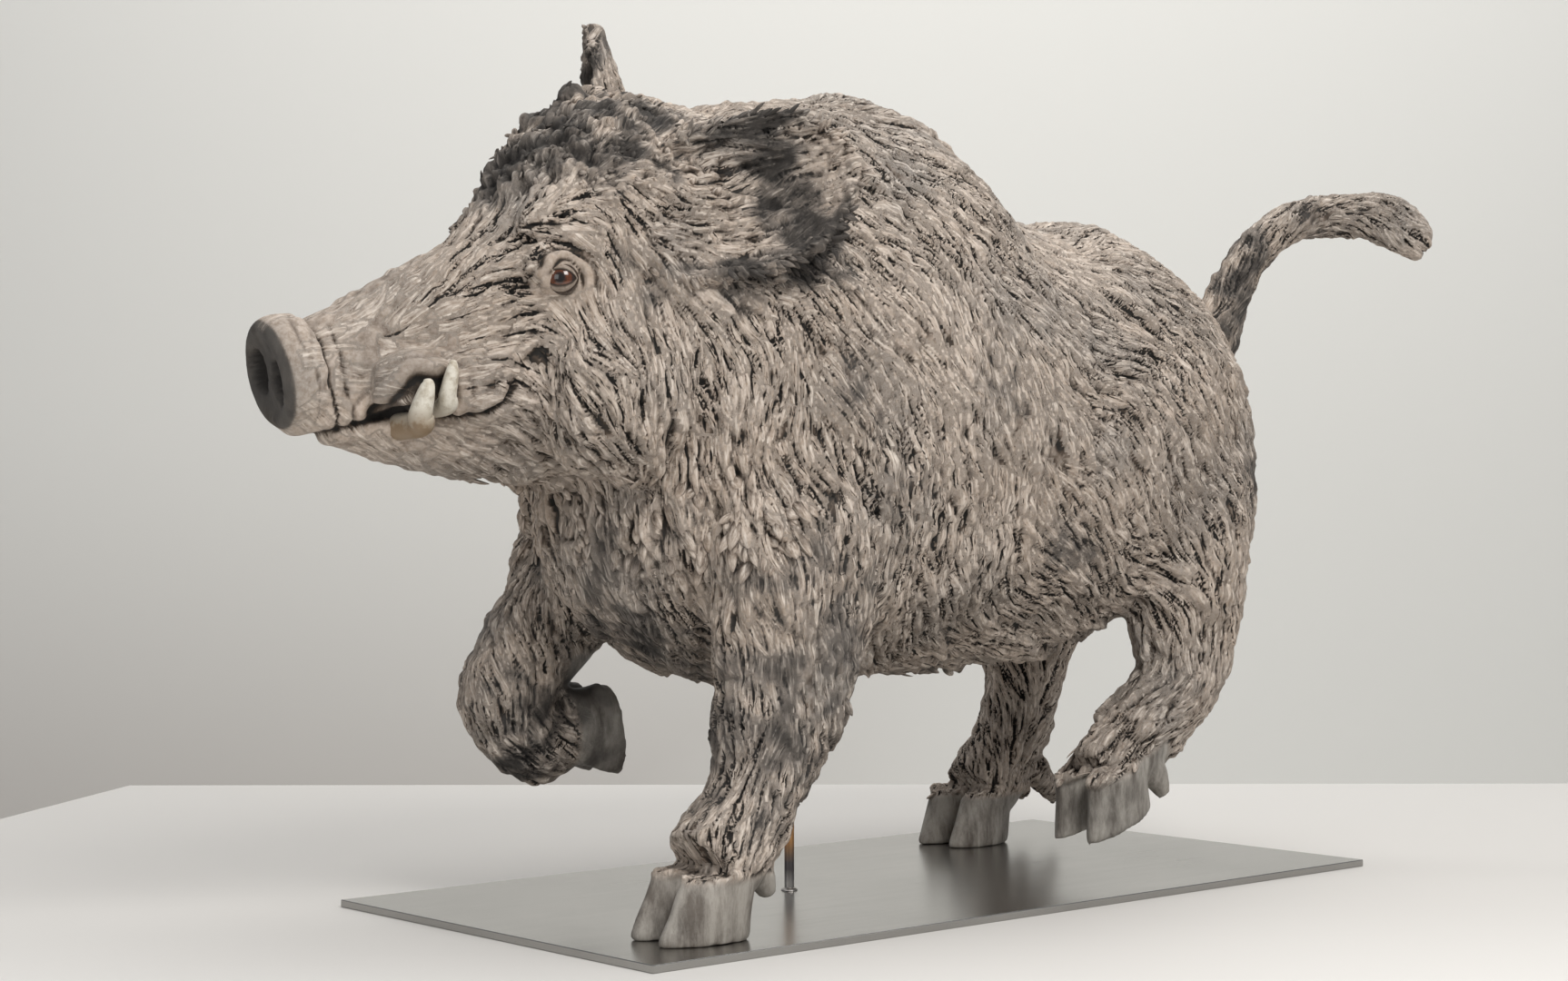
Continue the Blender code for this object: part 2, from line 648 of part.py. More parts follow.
def ball(name, centre, diameter):
    slope = np.linspace(0.0, math.pi, 9)[1:-1, None]
    angle = np.linspace(0, 2 * math.pi, 14, endpoint=False)[None]
    shape = np.stack(
        [np.sin(slope) * np.cos(angle), np.sin(slope) * np.sin(angle), np.cos(slope) + 0 * angle], -1
    )
    return skin(name, np.array(centre) + shape * diameter / 2)


def eye_centre(side):
    place = turned_head(np.array(EYE_PLACE) * [1, -side, 1])
    return place * UNIT + np.array([0.0, 0.0, SOLE_Z])


def cut_away(obj, cutter):
    cutter.hide_render = True
    cutter.display_type = "WIRE"
    cut = obj.modifiers.new(cutter.name, "BOOLEAN")
    cut.operation = "DIFFERENCE"
    cut.solver = "EXACT"
    cut.object = cutter


def cylinder(name, foot, diameter, height, around=24):
    angle = np.linspace(0, 2 * math.pi, around, endpoint=False)
    ring = np.stack([np.cos(angle), np.sin(angle), 0 * angle], -1) * diameter / 2
    return skin(name, np.array([ring + np.array(foot), ring + np.array(foot) + [0, 0, height]]))


def rod_top():
    belly = np.interp(-ROD_FORWARD / UNIT, [row[0] for row in TORSO], [row[2] for row in TORSO])
    return SOLE_Z + belly * UNIT + ROD_DEPTH_IN_BOAR


def boar():
    made = boar_forms()
    carved(made)
    made.data.calc_loop_triangles()
    thin = made.modifiers.new("thin", "DECIMATE")
    thin.ratio = BOAR_TRIANGLES / len(made.data.loop_triangles)
    apply_modifiers(made)
    for name, side in (("left", LEFT), ("right", RIGHT)):
        cut_away(made, ball(f"{name}_socket", eye_centre(side), EYE_DIAMETER + 2 * SOCKET_GAP))
    foot = (-ROD_FORWARD, 0.0, PLATE_THICKNESS + WELD_HEIGHT + 0.02)
    height = rod_top() + ROD_END_GAP - foot[2]
    cut_away(made, cylinder("rod_hole", foot, ROD_DIAMETER + 2 * ROD_GAP, height))
    made.data.materials.append(material("fired_clay", (0.36, 0.32, 0.29), 0.85, 0.0))
    return made


def eye(name, side):
    made = ball(name, eye_centre(side), EYE_DIAMETER)
    made.data.materials.append(material(name + "_glass", (0.30, 0.09, 0.02), 0.08, 0.0))
    return made


def plate():
    x, y, z = PLATE_LENGTH / 2, PLATE_WIDTH / 2, PLATE_THICKNESS
    corners = [(-x, -y), (x, -y), (x, y), (-x, y)]
    rings = np.array([[(a, b, level) for a, b in corners] for level in (0.0, z)])
    made = skin("base_plate", rings)
    bevel = made.modifiers.new("edge", "BEVEL")
    bevel.width = PLATE_EDGE_ROUND
    bevel.segments = 1
    made.data.materials.append(material("plate_steel", (0.52, 0.51, 0.49), 0.32, 1.0))
    return made


def rod():
    """The rod, with the bead of weld round its foot."""
    foot = PLATE_THICKNESS + TOUCH_GAP
    radii = [
        (foot, WELD_DIAMETER / 2),
        (foot + 0.35 * WELD_HEIGHT, WELD_DIAMETER / 2 * 0.96),
        (foot + 0.75 * WELD_HEIGHT, (WELD_DIAMETER + ROD_DIAMETER) / 4),
        (foot + WELD_HEIGHT, ROD_DIAMETER / 2),
        (rod_top(), ROD_DIAMETER / 2),
    ]
    angle = np.linspace(0, 2 * math.pi, 24, endpoint=False)
    rings = [
        np.stack([-ROD_FORWARD + r * np.cos(angle), r * np.sin(angle), z + 0 * angle], -1) for z, r in radii
    ]
    made = skin("support_rod", np.array(rings))
    made.data.materials.append(material("rod_steel", (0.42, 0.38, 0.34), 0.35, 1.0))
    return made


clear_scene()
boar()
eye("left_eye", LEFT)
eye("right_eye", RIGHT)
plate()
rod()
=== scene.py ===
# %% [markdown]
# # A trotting boar in smoke-fired clay
# The real object is a ceramic sculpture about 1.3 m long, on a thin steel plate with one
# steel rod under the belly. Nearly all of its look is in the clay: hair pressed in with a
# tool, lock over lock, dark cracks between the locks, and soot from the firing. This file
# builds that clay in steps: plain forms, one fused skin, hair in relief, then colour.

import math

import bmesh
import bpy
import numpy as np
from mathutils import Matrix


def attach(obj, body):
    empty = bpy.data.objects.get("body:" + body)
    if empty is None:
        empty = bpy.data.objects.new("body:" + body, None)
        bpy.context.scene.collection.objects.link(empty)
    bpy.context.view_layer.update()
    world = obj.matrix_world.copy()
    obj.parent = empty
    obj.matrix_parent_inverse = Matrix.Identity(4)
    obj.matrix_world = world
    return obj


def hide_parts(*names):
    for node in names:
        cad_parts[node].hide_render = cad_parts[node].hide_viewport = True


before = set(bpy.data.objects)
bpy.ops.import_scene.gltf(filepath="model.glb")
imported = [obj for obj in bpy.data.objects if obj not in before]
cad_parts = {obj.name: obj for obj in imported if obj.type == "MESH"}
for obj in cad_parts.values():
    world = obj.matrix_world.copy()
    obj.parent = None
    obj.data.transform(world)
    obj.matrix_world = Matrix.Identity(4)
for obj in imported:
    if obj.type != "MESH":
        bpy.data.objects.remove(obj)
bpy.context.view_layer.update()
print("solids:", sorted(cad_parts))

# %% [markdown]
# ## The camera
# The plate is a known 800 x 400 mm rectangle, so its four corners in the picture fix the
# camera: where it stands, where it looks and how long its lens is. It stands low, at the
# height of the boar's elbow, and looks across the plate from the front left.

# %% Camera
CAMERA_PLACE = (-1.504, -1.592, 0.3174)
CAMERA_YAW = math.radians(48.696)
CAMERA_PITCH = math.radians(0.383)
CAMERA_ROLL = math.radians(-0.074)
CAMERA_LENS = 59.77  # mm, on a 36 mm wide sensor


def camera_axes(yaw, pitch, roll):
    """Right, up and backward vectors of a camera that looks along yaw and pitch."""
    look = np.array([math.cos(pitch) * math.cos(yaw), math.cos(pitch) * math.sin(yaw), math.sin(pitch)])
    right = np.array([math.sin(yaw), -math.cos(yaw), 0.0])
    up = np.cross(right, look)
    turned_right = right * math.cos(roll) + up * math.sin(roll)
    turned_up = up * math.cos(roll) - right * math.sin(roll)
    return turned_right, turned_up, -look


camera = bpy.data.objects.new("camera", bpy.data.cameras.new("camera"))
bpy.context.scene.collection.objects.link(camera)
camera.data.lens = CAMERA_LENS
camera.data.sensor_width = 36
camera.data.clip_start = 0.05
axes = np.eye(4)
axes[:3, :3] = np.array(camera_axes(CAMERA_YAW, CAMERA_PITCH, CAMERA_ROLL)).T
axes[:3, 3] = CAMERA_PLACE
camera.matrix_world = Matrix(axes.tolist())
bpy.context.scene.camera = camera
print("camera at", CAMERA_PLACE, "with a lens of", CAMERA_LENS, "mm")

# %% [markdown]
# ## Table, wall and light
# The stage isn't part of the object. A pale slab ends behind the boar and a pale wall
# stands farther off. The key light is soft and comes from over the camera's right shoulder,
# another hangs over the back, a weak one fills the face and a long one washes the wall. The
# rest is even light from all round, so the shadows stay soft.

# %% Stage and light
TABLE_FAR = 0.80  # from the boar's middle, along the camera's look
TABLE_NEAR = -1.4
TABLE_LEFT = -0.83
TABLE_RIGHT = 2.2
WALL_FAR = 3.2


look_x, look_y = math.cos(CAMERA_YAW), math.sin(CAMERA_YAW)


def stage_material(name, light, dark, bands, roughness):
    """Matt paint with painted shade: darker along one or two directions, where the real room lies in shade.
    """
    made = bpy.data.materials.new(name)
    made.use_nodes = True
    tree = made.node_tree
    shader = tree.nodes["Principled BSDF"]
    place = tree.nodes.new("ShaderNodeTexCoord").outputs["Object"]
    shade = []
    for direction, low, high in bands:
        along = tree.nodes.new("ShaderNodeVectorMath")
        along.operation = "DOT_PRODUCT"
        along.inputs[1].default_value = direction
        tree.links.new(place, along.inputs[0])
        ramp = tree.nodes.new("ShaderNodeMapRange")
        ramp.interpolation_type = "SMOOTHSTEP"
        ramp.inputs["From Min"].default_value = low
        ramp.inputs["From Max"].default_value = high
        tree.links.new(along.outputs["Value"], ramp.inputs["Value"])
        shade.append(ramp.outputs["Result"])
    either = tree.nodes.new("ShaderNodeMath")
    either.operation = "MAXIMUM"
    mixed = tree.nodes.new("ShaderNodeMix")
    mixed.data_type = "RGBA"
    mixed.inputs[6].default_value = (*dark, 1)
    mixed.inputs[7].default_value = (*light, 1)
    tree.links.new(shade[0], either.inputs[0])
    tree.links.new(shade[-1], either.inputs[1])
    tree.links.new(either.outputs[0], mixed.inputs[0])
    tree.links.new(mixed.outputs[2], shader.inputs["Base Color"])
    shader.inputs["Roughness"].default_value = roughness
    return made


def stage_sheet(name, corners, material):
    mesh = bpy.data.meshes.new(name)
    mesh.from_pydata(corners, [], [tuple(range(len(corners)))])
    made = bpy.data.objects.new(name, mesh)
    bpy.context.scene.collection.objects.link(made)
    made.data.materials.append(material)
    return made


def on_stage(along, across, height):
    """A point so far along the camera's look and so far to its right, at a height."""
    return (look_x * along + look_y * across, look_y * along - look_x * across, height)


table_corners = [
    on_stage(TABLE_NEAR, TABLE_LEFT - 0.35, 0),
    on_stage(TABLE_NEAR, TABLE_RIGHT, 0),
    on_stage(TABLE_FAR, TABLE_RIGHT, 0),
    on_stage(TABLE_FAR, TABLE_LEFT, 0),
]
AHEAD, ACROSS, UP = (look_x, look_y, 0), (look_y, -look_x, 0), (0, 0, 1)
# painted light and shade: the table is paler near the camera and darker farther back
table_shade_paint = stage_material("table_paint_and_shade", (0.90, 0.88, 0.85), (0.66, 0.64, 0.615), [(AHEAD, 0.1, -1.0)], 0.6)
stage_sheet("table_top", table_corners, table_shade_paint)
shade_bands = [(ACROSS, -1.0, 0.7), (UP, -0.7, 0.6)]
# painted shade: the wall, and the ground below it, darken towards the lower left
paint = stage_material("wall_paint_and_shade", (0.82, 0.81, 0.775), (0.58, 0.55, 0.52), shade_bands, 0.9)
wall = [(-4.5, -1.6), (4.5, -1.6), (4.5, 3.6), (-4.5, 3.6)]
stage_sheet("wall", [on_stage(WALL_FAR, a, h) for a, h in wall], paint)
ground = [(TABLE_NEAR - 4, -4.5), (TABLE_NEAR - 4, 4.5), (WALL_FAR, 4.5), (WALL_FAR, -4.5)]
stage_sheet("ground", [on_stage(d, a, -1.0) for d, a in ground], paint)


def soft_light(name, place, aim, size, power, colour):
    lamp = bpy.data.lights.new(name, "AREA")
    lamp.shape = "RECTANGLE"
    lamp.size, lamp.size_y = size
    lamp.energy = power
    lamp.color = colour
    made = bpy.data.objects.new(name, lamp)
    bpy.context.scene.collection.objects.link(made)
    backward = np.array(place) - np.array(aim)
    backward = backward / np.linalg.norm(backward)
    right = np.cross([0.0, 0.0, 1.0], backward)
    right = right / np.linalg.norm(right)
    placed = np.eye(4)
    placed[:3, :3] = np.array([right, np.cross(backward, right), backward]).T
    placed[:3, 3] = place
    made.matrix_world = Matrix(placed.tolist())
    return made


soft_light("key_light", on_stage(-1.9, 0.9, 2.1), (0, 0, 0.35), (1.1, 1.1), 46, (1.0, 0.98, 0.95))
soft_light("over_light", on_stage(0.1, 0.3, 2.2), (0, 0, 0.3), (1.6, 1.2), 16, (1.0, 0.985, 0.96))
wall_middle = on_stage(WALL_FAR, 0.2, 0.6)
soft_light("wall_light", on_stage(1.3, 0.2, 2.8), wall_middle, (4.0, 0.8), 52, (1.0, 0.99, 0.97))
soft_light("face_light", on_stage(-1.9, -1.5, 0.9), (-0.4, -0.1, 0.4), (1.1, 1.1), 7, (1.0, 0.98, 0.95))
world = bpy.data.worlds.new("studio")
world.use_nodes = True
world.node_tree.nodes["Background"].inputs["Color"].default_value = (0.93, 0.96, 1.0, 1)
world.node_tree.nodes["Background"].inputs["Strength"].default_value = 0.31
bpy.context.scene.world = world
bpy.context.scene.view_settings.view_transform = "Standard"
print("stage and four soft lights are up")

# %% [markdown]
# ## The sculptor's measures
# A figure is easiest to keep in proportion when every number is a share of one height. Here
# 1 is a hundredth of the height from soles to withers, as in the solid model, and only the
# last step turns the numbers into metres. A table row is a station: a place and a size.

# %% Measures and stations
WITHERS_HEIGHT = 0.662
UNIT = WITHERS_HEIGHT / 100
SOLE_Z = 0.0063
HEAD_TURN = math.radians(7)
HEAD_PIVOT = (-34.0, 0.0)

# Powers of the ovals that the sections are
BACK_POWER = 1.76
BELLY_POWER = 2.4
HEAD_POWER = 2.15

# Torso: x, back, belly, widest level, half width
TORSO = [
    (-47.5, 60.0, 43.0, 50.0, 6.0),
    (-44.5, 76.0, 36.5, 52.0, 14.5),
    (-39.0, 90.0, 31.0, 55.0, 20.0),
    (-30.0, 94.2, 26.6, 57.0, 23.5),
    (-17.0, 97.0, 26.0, 58.0, 25.5),
    (-6.0, 98.7, 26.8, 58.0, 26.3),
    (3.0, 96.0, 26.6, 58.0, 26.4),
    (8.6, 90.2, 26.4, 57.0, 26.2),
    (12.0, 86.8, 26.6, 56.0, 25.8),
    (18.0, 85.4, 26.6, 56.0, 25.4),
    (25.0, 84.0, 28.4, 57.0, 25.0),
    (34.0, 85.6, 31.0, 58.0, 24.6),
    (42.0, 84.0, 33.0, 58.0, 22.8),
    (49.4, 80.0, 36.0, 58.0, 19.4),
    (55.6, 74.4, 40.0, 57.0, 14.6),
    (60.6, 66.4, 45.0, 56.0, 10.2),
    (63.6, 59.3, 50.0, 55.0, 5.0),
]

# Head: top point x, z, bottom point x, z, half width, share of the height where it is widest
HEAD = [
    (-85.0, 66.0, -80.6, 55.4, 5.2, 0.50),
    (-81.5, 67.0, -76.4, 53.6, 5.0, 0.50),
    (-76.0, 70.0, -71.0, 52.0, 6.2, 0.44),
    (-69.0, 74.0, -63.0, 50.6, 8.2, 0.42),
    (-63.0, 77.2, -56.0, 50.4, 10.4, 0.44),
    (-58.0, 81.8, -49.5, 50.4, 12.8, 0.46),
    (-54.0, 88.2, -42.5, 49.6, 15.8, 0.46),
    (-46.6, 93.8, -35.0, 47.2, 18.6, 0.46),
    (-34.0, 94.6, -25.0, 46.0, 20.0, 0.46),
]

# Legs: x, y, z, half size fore and aft, half size sideways
LEFT_FORELEG = [
    (-24.0, -14.0, 62.0, 13.0, 7.0),
    (-28.0, -17.0, 48.0, 13.0, 8.2),
    (-31.0, -18.5, 35.0, 10.6, 7.8),
    (-33.5, -19.5, 26.0, 8.2, 6.8),
    (-36.0, -20.0, 19.5, 6.8, 6.0),
    (-38.6, -20.2, 14.2, 5.2, 4.9),
    (-42.0, -20.4, 10.4, 5.8, 5.3),
    (-45.2, -20.4, 7.4, 5.9, 5.3),
]
RIGHT_FORELEG = [
    (-24.0, 13.0, 62.0, 11.0, 7.0),
    (-29.5, 15.5, 48.0, 10.5, 7.6),
    (-36.0, 16.6, 37.5, 8.0, 6.6),
    (-42.0, 17.0, 29.8, 6.5, 5.8),
    (-45.8, 17.0, 24.2, 5.6, 5.3),
    (-43.4, 17.0, 19.8, 5.0, 4.8),
    (-40.0, 17.0, 18.4, 4.7, 4.6),
    (-37.6, 17.0, 19.4, 4.3, 4.3),
]
LEFT_HINDLEG = [
    (37.0, -11.0, 64.0, 15.0, 8.0),
    (39.4, -14.5, 50.0, 13.6, 9.0),
    (39.4, -16.2, 40.0, 10.8, 8.0),
    (38.8, -17.2, 31.0, 8.0, 6.4),
    (37.8, -17.6, 25.0, 6.5, 5.5),
    (32.0, -17.6, 19.2, 5.3, 4.7),
    (26.2, -17.6, 15.4, 5.1, 4.8),
    (23.2, -17.6, 12.4, 5.2, 4.9),
]
RIGHT_HINDLEG = [
    (40.0, 11.0, 64.0, 15.0, 8.0),
    (44.5, 14.5, 48.0, 13.5, 8.8),
    (46.6, 16.4, 37.0, 10.6, 7.6),
    (46.4, 17.4, 28.5, 7.4, 6.0),
    (45.2, 17.8, 21.0, 5.9, 5.1),
    (42.0, 17.9, 13.0, 5.2, 4.8),
    (38.2, 17.9, 8.8, 5.6, 5.2),
    (35.6, 17.9, 6.6, 5.4, 5.2),
]

# Hooves: middle of the coronet x, y, z, toe-down pitch and outward turn in degrees
HOOVES = {
    "left_fore": (-46.0, -20.4, 6.6, 0.0, -6.0),
    "right_fore": (-38.2, 17.0, 20.2, 100.0, 0.0),
    "left_hind": (21.6, -17.6, 13.4, 22.0, -4.0),
    "right_hind": (34.4, 17.9, 6.6, 0.0, 4.0),
}
HOOF_HEIGHT = 6.6
HOOF_LENGTH = 11.6
CLAW_WIDTH = 4.9
CLAW_SPLIT = 0.9

# Dewclaws: root x, y, z, tip x, y, z, radius at the root
DEWCLAWS = [
    (-39.4, -21.8, 8.2, -37.4, -21.6, 4.0, 1.9),
    (-39.6, -17.6, 8.2, -37.4, -16.4, 4.0, 1.9),
    (-38.4, 14.4, 21.0, -33.6, 13.6, 25.0, 2.2),
    (-38.4, 19.6, 21.0, -33.6, 20.4, 25.0, 2.2),
    (28.4, -20.0, 14.4, 30.8, -21.0, 10.0, 2.0),
    (28.4, -15.2, 14.4, 30.8, -14.2, 10.0, 2.0),
    (44.6, 15.4, 10.0, 49.0, 14.6, 5.0, 2.0),
    (44.6, 20.4, 10.0, 49.0, 21.2, 5.0, 2.0),
]

# Tail: x, y, z, half size up, half size sideways
TAIL = [
    (59.0, 0.0, 64.0, 4.4, 4.0),
    (64.8, 0.0, 68.2, 4.0, 3.6),
    (68.4, -0.3, 75.2, 3.5, 3.2),
    (72.8, -1.2, 83.2, 3.1, 2.9),
    (80.2, -3.0, 88.4, 3.0, 2.6),
    (89.0, -5.6, 90.2, 3.3, 2.4),
    (97.5, -8.4, 89.6, 4.2, 2.2),
    (103.5, -10.4, 86.2, 3.0, 1.8),
]

# Ears, as on the head before it is turned: root, tip and the way the cup opens
EARS = {
    "left": ((-46.0, -15.6, 79.0), (-24.6, -25.0, 86.6), (-0.62, -0.76, 0.2)),
    "right": ((-36.5, 13.0, 85.0), (-37.3, 15.0, 106.2), (-0.95, 0.3, 0.0)),
}
# Half width of each ear at equal steps from root to tip, and how deep its cup is
EAR_HALF_WIDTHS = {"left": (7.0, 8.2, 8.8, 8.6, 7.2, 1.8), "right": (5.6, 5.2, 4.6, 3.8, 2.6, 0.6)}
EAR_CUPS = {"left": 6.4, "right": 3.4}
EAR_WALL = 2.1

# Features of the face are given for its left side, before the head is turned
LOWER_TUSK = [
    (-72.2, -7.2, 54.3, 1.5),
    (-71.7, -8.8, 55.3, 1.45),
    (-71.4, -9.8, 57.0, 1.3),
    (-71.2, -10.5, 58.9, 1.05),
    (-71.0, -10.8, 60.2, 0.75),
    (-71.0, -10.7, 60.8, 0.4),
]
UPPER_TUSK = [
    (-69.4, -7.8, 56.4, 1.25),
    (-68.8, -9.2, 57.4, 1.15),
    (-68.4, -10.3, 59.2, 0.98),
    (-68.2, -10.8, 61.2, 0.78),
    (-68.0, -10.8, 62.4, 0.55),
    (-67.9, -10.7, 62.9, 0.3),
]
MOUTH = [
    (-81.0, -3.5, 54.2),
    (-75.0, -6.0, 56.4),
    (-70.0, -8.0, 57.0),
    (-65.0, -9.5, 57.0),
    (-61.8, -12.0, 58.2),
    (-60.2, -13.0, 60.2),
]
EYE_HOME = (-55.2, -12.0, 72.2)  # where the glass shows, a little behind the solid ball
EYE_RADIUS = 0.012  # in metres
NOSTRILS = [(-84.6, -2.2, 60.3), (-84.9, 2.2, 61.7)]  # left and right, not quite level
NOSTRIL_DEPTH = 3.0
NOSTRIL_SIZE = (1.55, 2.3)

# Swellings: x, y, z and the half sizes of an egg shape
LIP_AND_LIDS = [
    (-71.0, -7.0, 60.4, 4.4, 3.5, 3.9),  # lip over the upper tusk
    (-55.0, -10.4, 73.0, 3.9, 2.9, 3.3),  # eyelids
]
HEAD_SWELLINGS = [
    (-63.6, -7.0, 60.6, 5.4, 4.2, 4.4),  # fold behind the mouth
    (-52.6, -8.0, 78.6, 6.4, 4.2, 4.2),  # brow
    (-47.0, -12.0, 59.8, 10.0, 7.4, 10.2),  # cheek
]
BODY_SWELLINGS = [
    (-22.0, 18.4, 54.0, 15.0, 8.0, 22.0),  # shoulder
    (41.0, 14.0, 55.0, 13.5, 7.6, 18.0),  # haunch
]
FOREHEAD_CLUMPS = [
    (-49.4, 3.6, 90.6, 2.4, 2.6, 2.4),
    (-51.2, 3.0, 87.8, 2.8, 3.0, 3.0),
    (-52.2, 2.6, 83.8, 2.6, 3.4, 3.6),
    (-49.0, -3.4, 89.6, 2.8, 2.8, 2.4),
    (-45.0, 1.4, 93.0, 2.8, 3.0, 2.2),
    (-41.4, 6.0, 94.2, 3.0, 3.0, 2.4),
    (-46.6, -9.0, 85.6, 3.0, 2.8, 3.2),
]

SNOUT_DISC = [
    # along the snout's axis from behind the rim to the face, radius up, down and sideways
    (-4.6, 5.9, 6.2, 5.4),
    (-3.4, 6.5, 6.8, 6.1),
    (-2.0, 6.7, 6.6, 6.3),
    (-0.8, 6.5, 5.9, 5.8),
    (0.1, 6.0, 5.2, 5.0),
    (0.4, 5.4, 4.6, 4.3),
    (0.1, 4.7, 4.0, 3.7),
    (-0.2, 3.9, 3.4, 3.0),
    (-0.2, 0.6, 0.6, 0.6),
]
SNOUT_PLACE = (-84.6, 0.0, 60.9)
SNOUT_TILT = math.radians(14)

# Hair locks: random darts in the figure's box, how near the skin one must fall to become a
# lock, and each lock's size
FIGURE_BOX = ((-88.0, -28.0, 6.0), (106.0, 28.0, 107.0))
LOCK_DARTS = 6200
DART_REACH = 2.5
LOCK_LENGTH = 12.0
LOCK_WIDTH = 4.4

print(len(TORSO), "stations along the torso,", len(HEAD), "along the head")

# %% [markdown]
# ## Plain forms
# Each form is a ring of points swept through its stations: a superellipse for torso and
# head, an ellipse for legs and tail. A Catmull-Rom curve through the stations gives the
# rings between them, so a few rows are enough for a smooth limb.

# %% Rings and skins
def smooth_rows(rows, steps):
    """A Catmull-Rom curve through the rows, with this many steps to each span."""
    rows = np.array(rows, float)
    ends = np.vstack([2 * rows[0] - rows[1], rows, 2 * rows[-1] - rows[-2]])
    a, b, c, d = (ends[i : i + len(rows) - 1, None] for i in range(4))
    t = (np.arange(steps) / steps)[None, :, None]
    curve = 2 * b + (c - a) * t + (2 * a - 5 * b + 4 * c - d) * t**2 + (3 * b - a - 3 * c + d) * t**3
    return np.vstack([(0.5 * curve).reshape(-1, rows.shape[1]), rows[-1:]])


def skin(rings):
    """A closed skin over rings of points: one quad between neighbours, a flat face on each end."""
    count, around = rings.shape[:2]
    i, j = np.meshgrid(np.arange(count - 1), np.arange(around), indexing="ij")
    k = (j + 1) % around
    quads = np.stack([i * around + j, i * around + k, (i + 1) * around + k, (i + 1) * around + j], -1)
    a, b, c = rings[0, 0], rings[0, around // 3], rings[0, 2 * around // 3]
    inward = np.cross(b - a, c - a) @ (rings[1].mean(0) - rings[0].mean(0)) < 0
    faces = quads.reshape(-1, 4)[:, ::-1] if inward else quads.reshape(-1, 4)
    ends = [list(range(around))[::-1], list(range((count - 1) * around, count * around))]
    ends = [end[::-1] for end in ends] if inward else ends
    return rings.reshape(-1, 3), faces.tolist() + ends


def superoval(around, power_up, power_down):
    """Side and rise round a superellipse whose upper and lower halves have their own powers."""
    angle = np.linspace(0, 2 * math.pi, around, endpoint=False)[None]
    up, side = np.cos(angle), np.sin(angle)
    share = 2 / np.where(up > 0, power_up, power_down)
    return np.sign(side) * np.abs(side) ** share, np.sign(up) * np.abs(up) ** share


def torso():
    """Width times side across, and from the widest level up to the back or down to the belly."""
    rows = smooth_rows(TORSO, 6)
    x, back, belly, level, width = (rows[:, i : i + 1] for i in range(5))
    side, rise = superoval(64, BACK_POWER, BELLY_POWER)
    z = level + np.where(rise > 0, back - level, level - belly) * rise
    return skin(np.stack([x + 0 * side, width * side, z], -1))


def turned_head(points, turn=-HEAD_TURN):
    """Points of the head, given facing straight on, turned about the neck."""
    points = np.array(points, float)
    x, y = points[..., 0] - HEAD_PIVOT[0], points[..., 1] - HEAD_PIVOT[1]
    turned = points.copy()
    turned[..., 0] = HEAD_PIVOT[0] + x * math.cos(turn) - y * math.sin(turn)
    turned[..., 1] = HEAD_PIVOT[1] + x * math.sin(turn) + y * math.cos(turn)
    return turned


def head():
    """Leaning sections: each runs from its bottom point to its top point, and is widest between."""
    rows = smooth_rows(HEAD, 6)[:, None]
    side, rise = superoval(56, HEAD_POWER, HEAD_POWER)
    share = rows[..., 5]
    along = np.where(rise > 0, share + (1 - share) * rise, share + share * rise)[..., None]
    profile = rows[..., 2:4] + (rows[..., 0:2] - rows[..., 2:4]) * along
    rings = np.stack([profile[..., 0], rows[..., 4] * side, profile[..., 1]], -1)
    return skin(turned_head(rings))


def tube(stations, around=28, steps=6, turn=None):
    """Ellipses square to a curved path: x, y, z, half size fore and aft, half size sideways."""
    rows = smooth_rows(stations, steps)
    path = rows[:, :3]
    tangent = np.gradient(path, axis=0)
    sideways = np.cross(tangent, np.cross([0.0, 1.0, 0.0], tangent))
    sideways /= np.linalg.norm(sideways, axis=1, keepdims=True)
    across = np.cross(sideways, tangent)
    across /= np.linalg.norm(across, axis=1, keepdims=True)
    angle = np.linspace(0, 2 * math.pi, around, endpoint=False)[None, :, None]
    rings = path[:, None] + across[:, None] * rows[:, None, 3:4] * np.cos(angle)
    rings = rings + sideways[:, None] * rows[:, None, 4:5] * np.sin(angle)
    return skin(turn(rings) if turn else rings)


def other_side(row):
    return (row[0], -row[1], *row[2:])


def egg(row, turn=None):
    """A ball stretched to three half sizes about x, y, z."""
    slope = np.linspace(0.1, math.pi - 0.1, 12)[:, None]
    angle = np.linspace(0, 2 * math.pi, 24, endpoint=False)[None]
    ring = np.sin(slope)
    ball = np.stack([ring * np.cos(angle), ring * np.sin(angle), np.cos(slope) + 0 * angle], -1)
    rings = np.array(row[:3]) + ball * np.array(row[3:6])
    return skin(turn(rings) if turn else rings)


def paired_eggs(rows, turn=None):
    return [egg(row, turn) for row in rows] + [egg(other_side(row), turn) for row in rows]


# %% [markdown]
# Hooves, ears and the snout's disc are forms of the same kind with a section of their own.
# The ear is a curved wall: its inner line is a parabola across, its outer line lies one
# wall behind, and both narrow towards the tip.

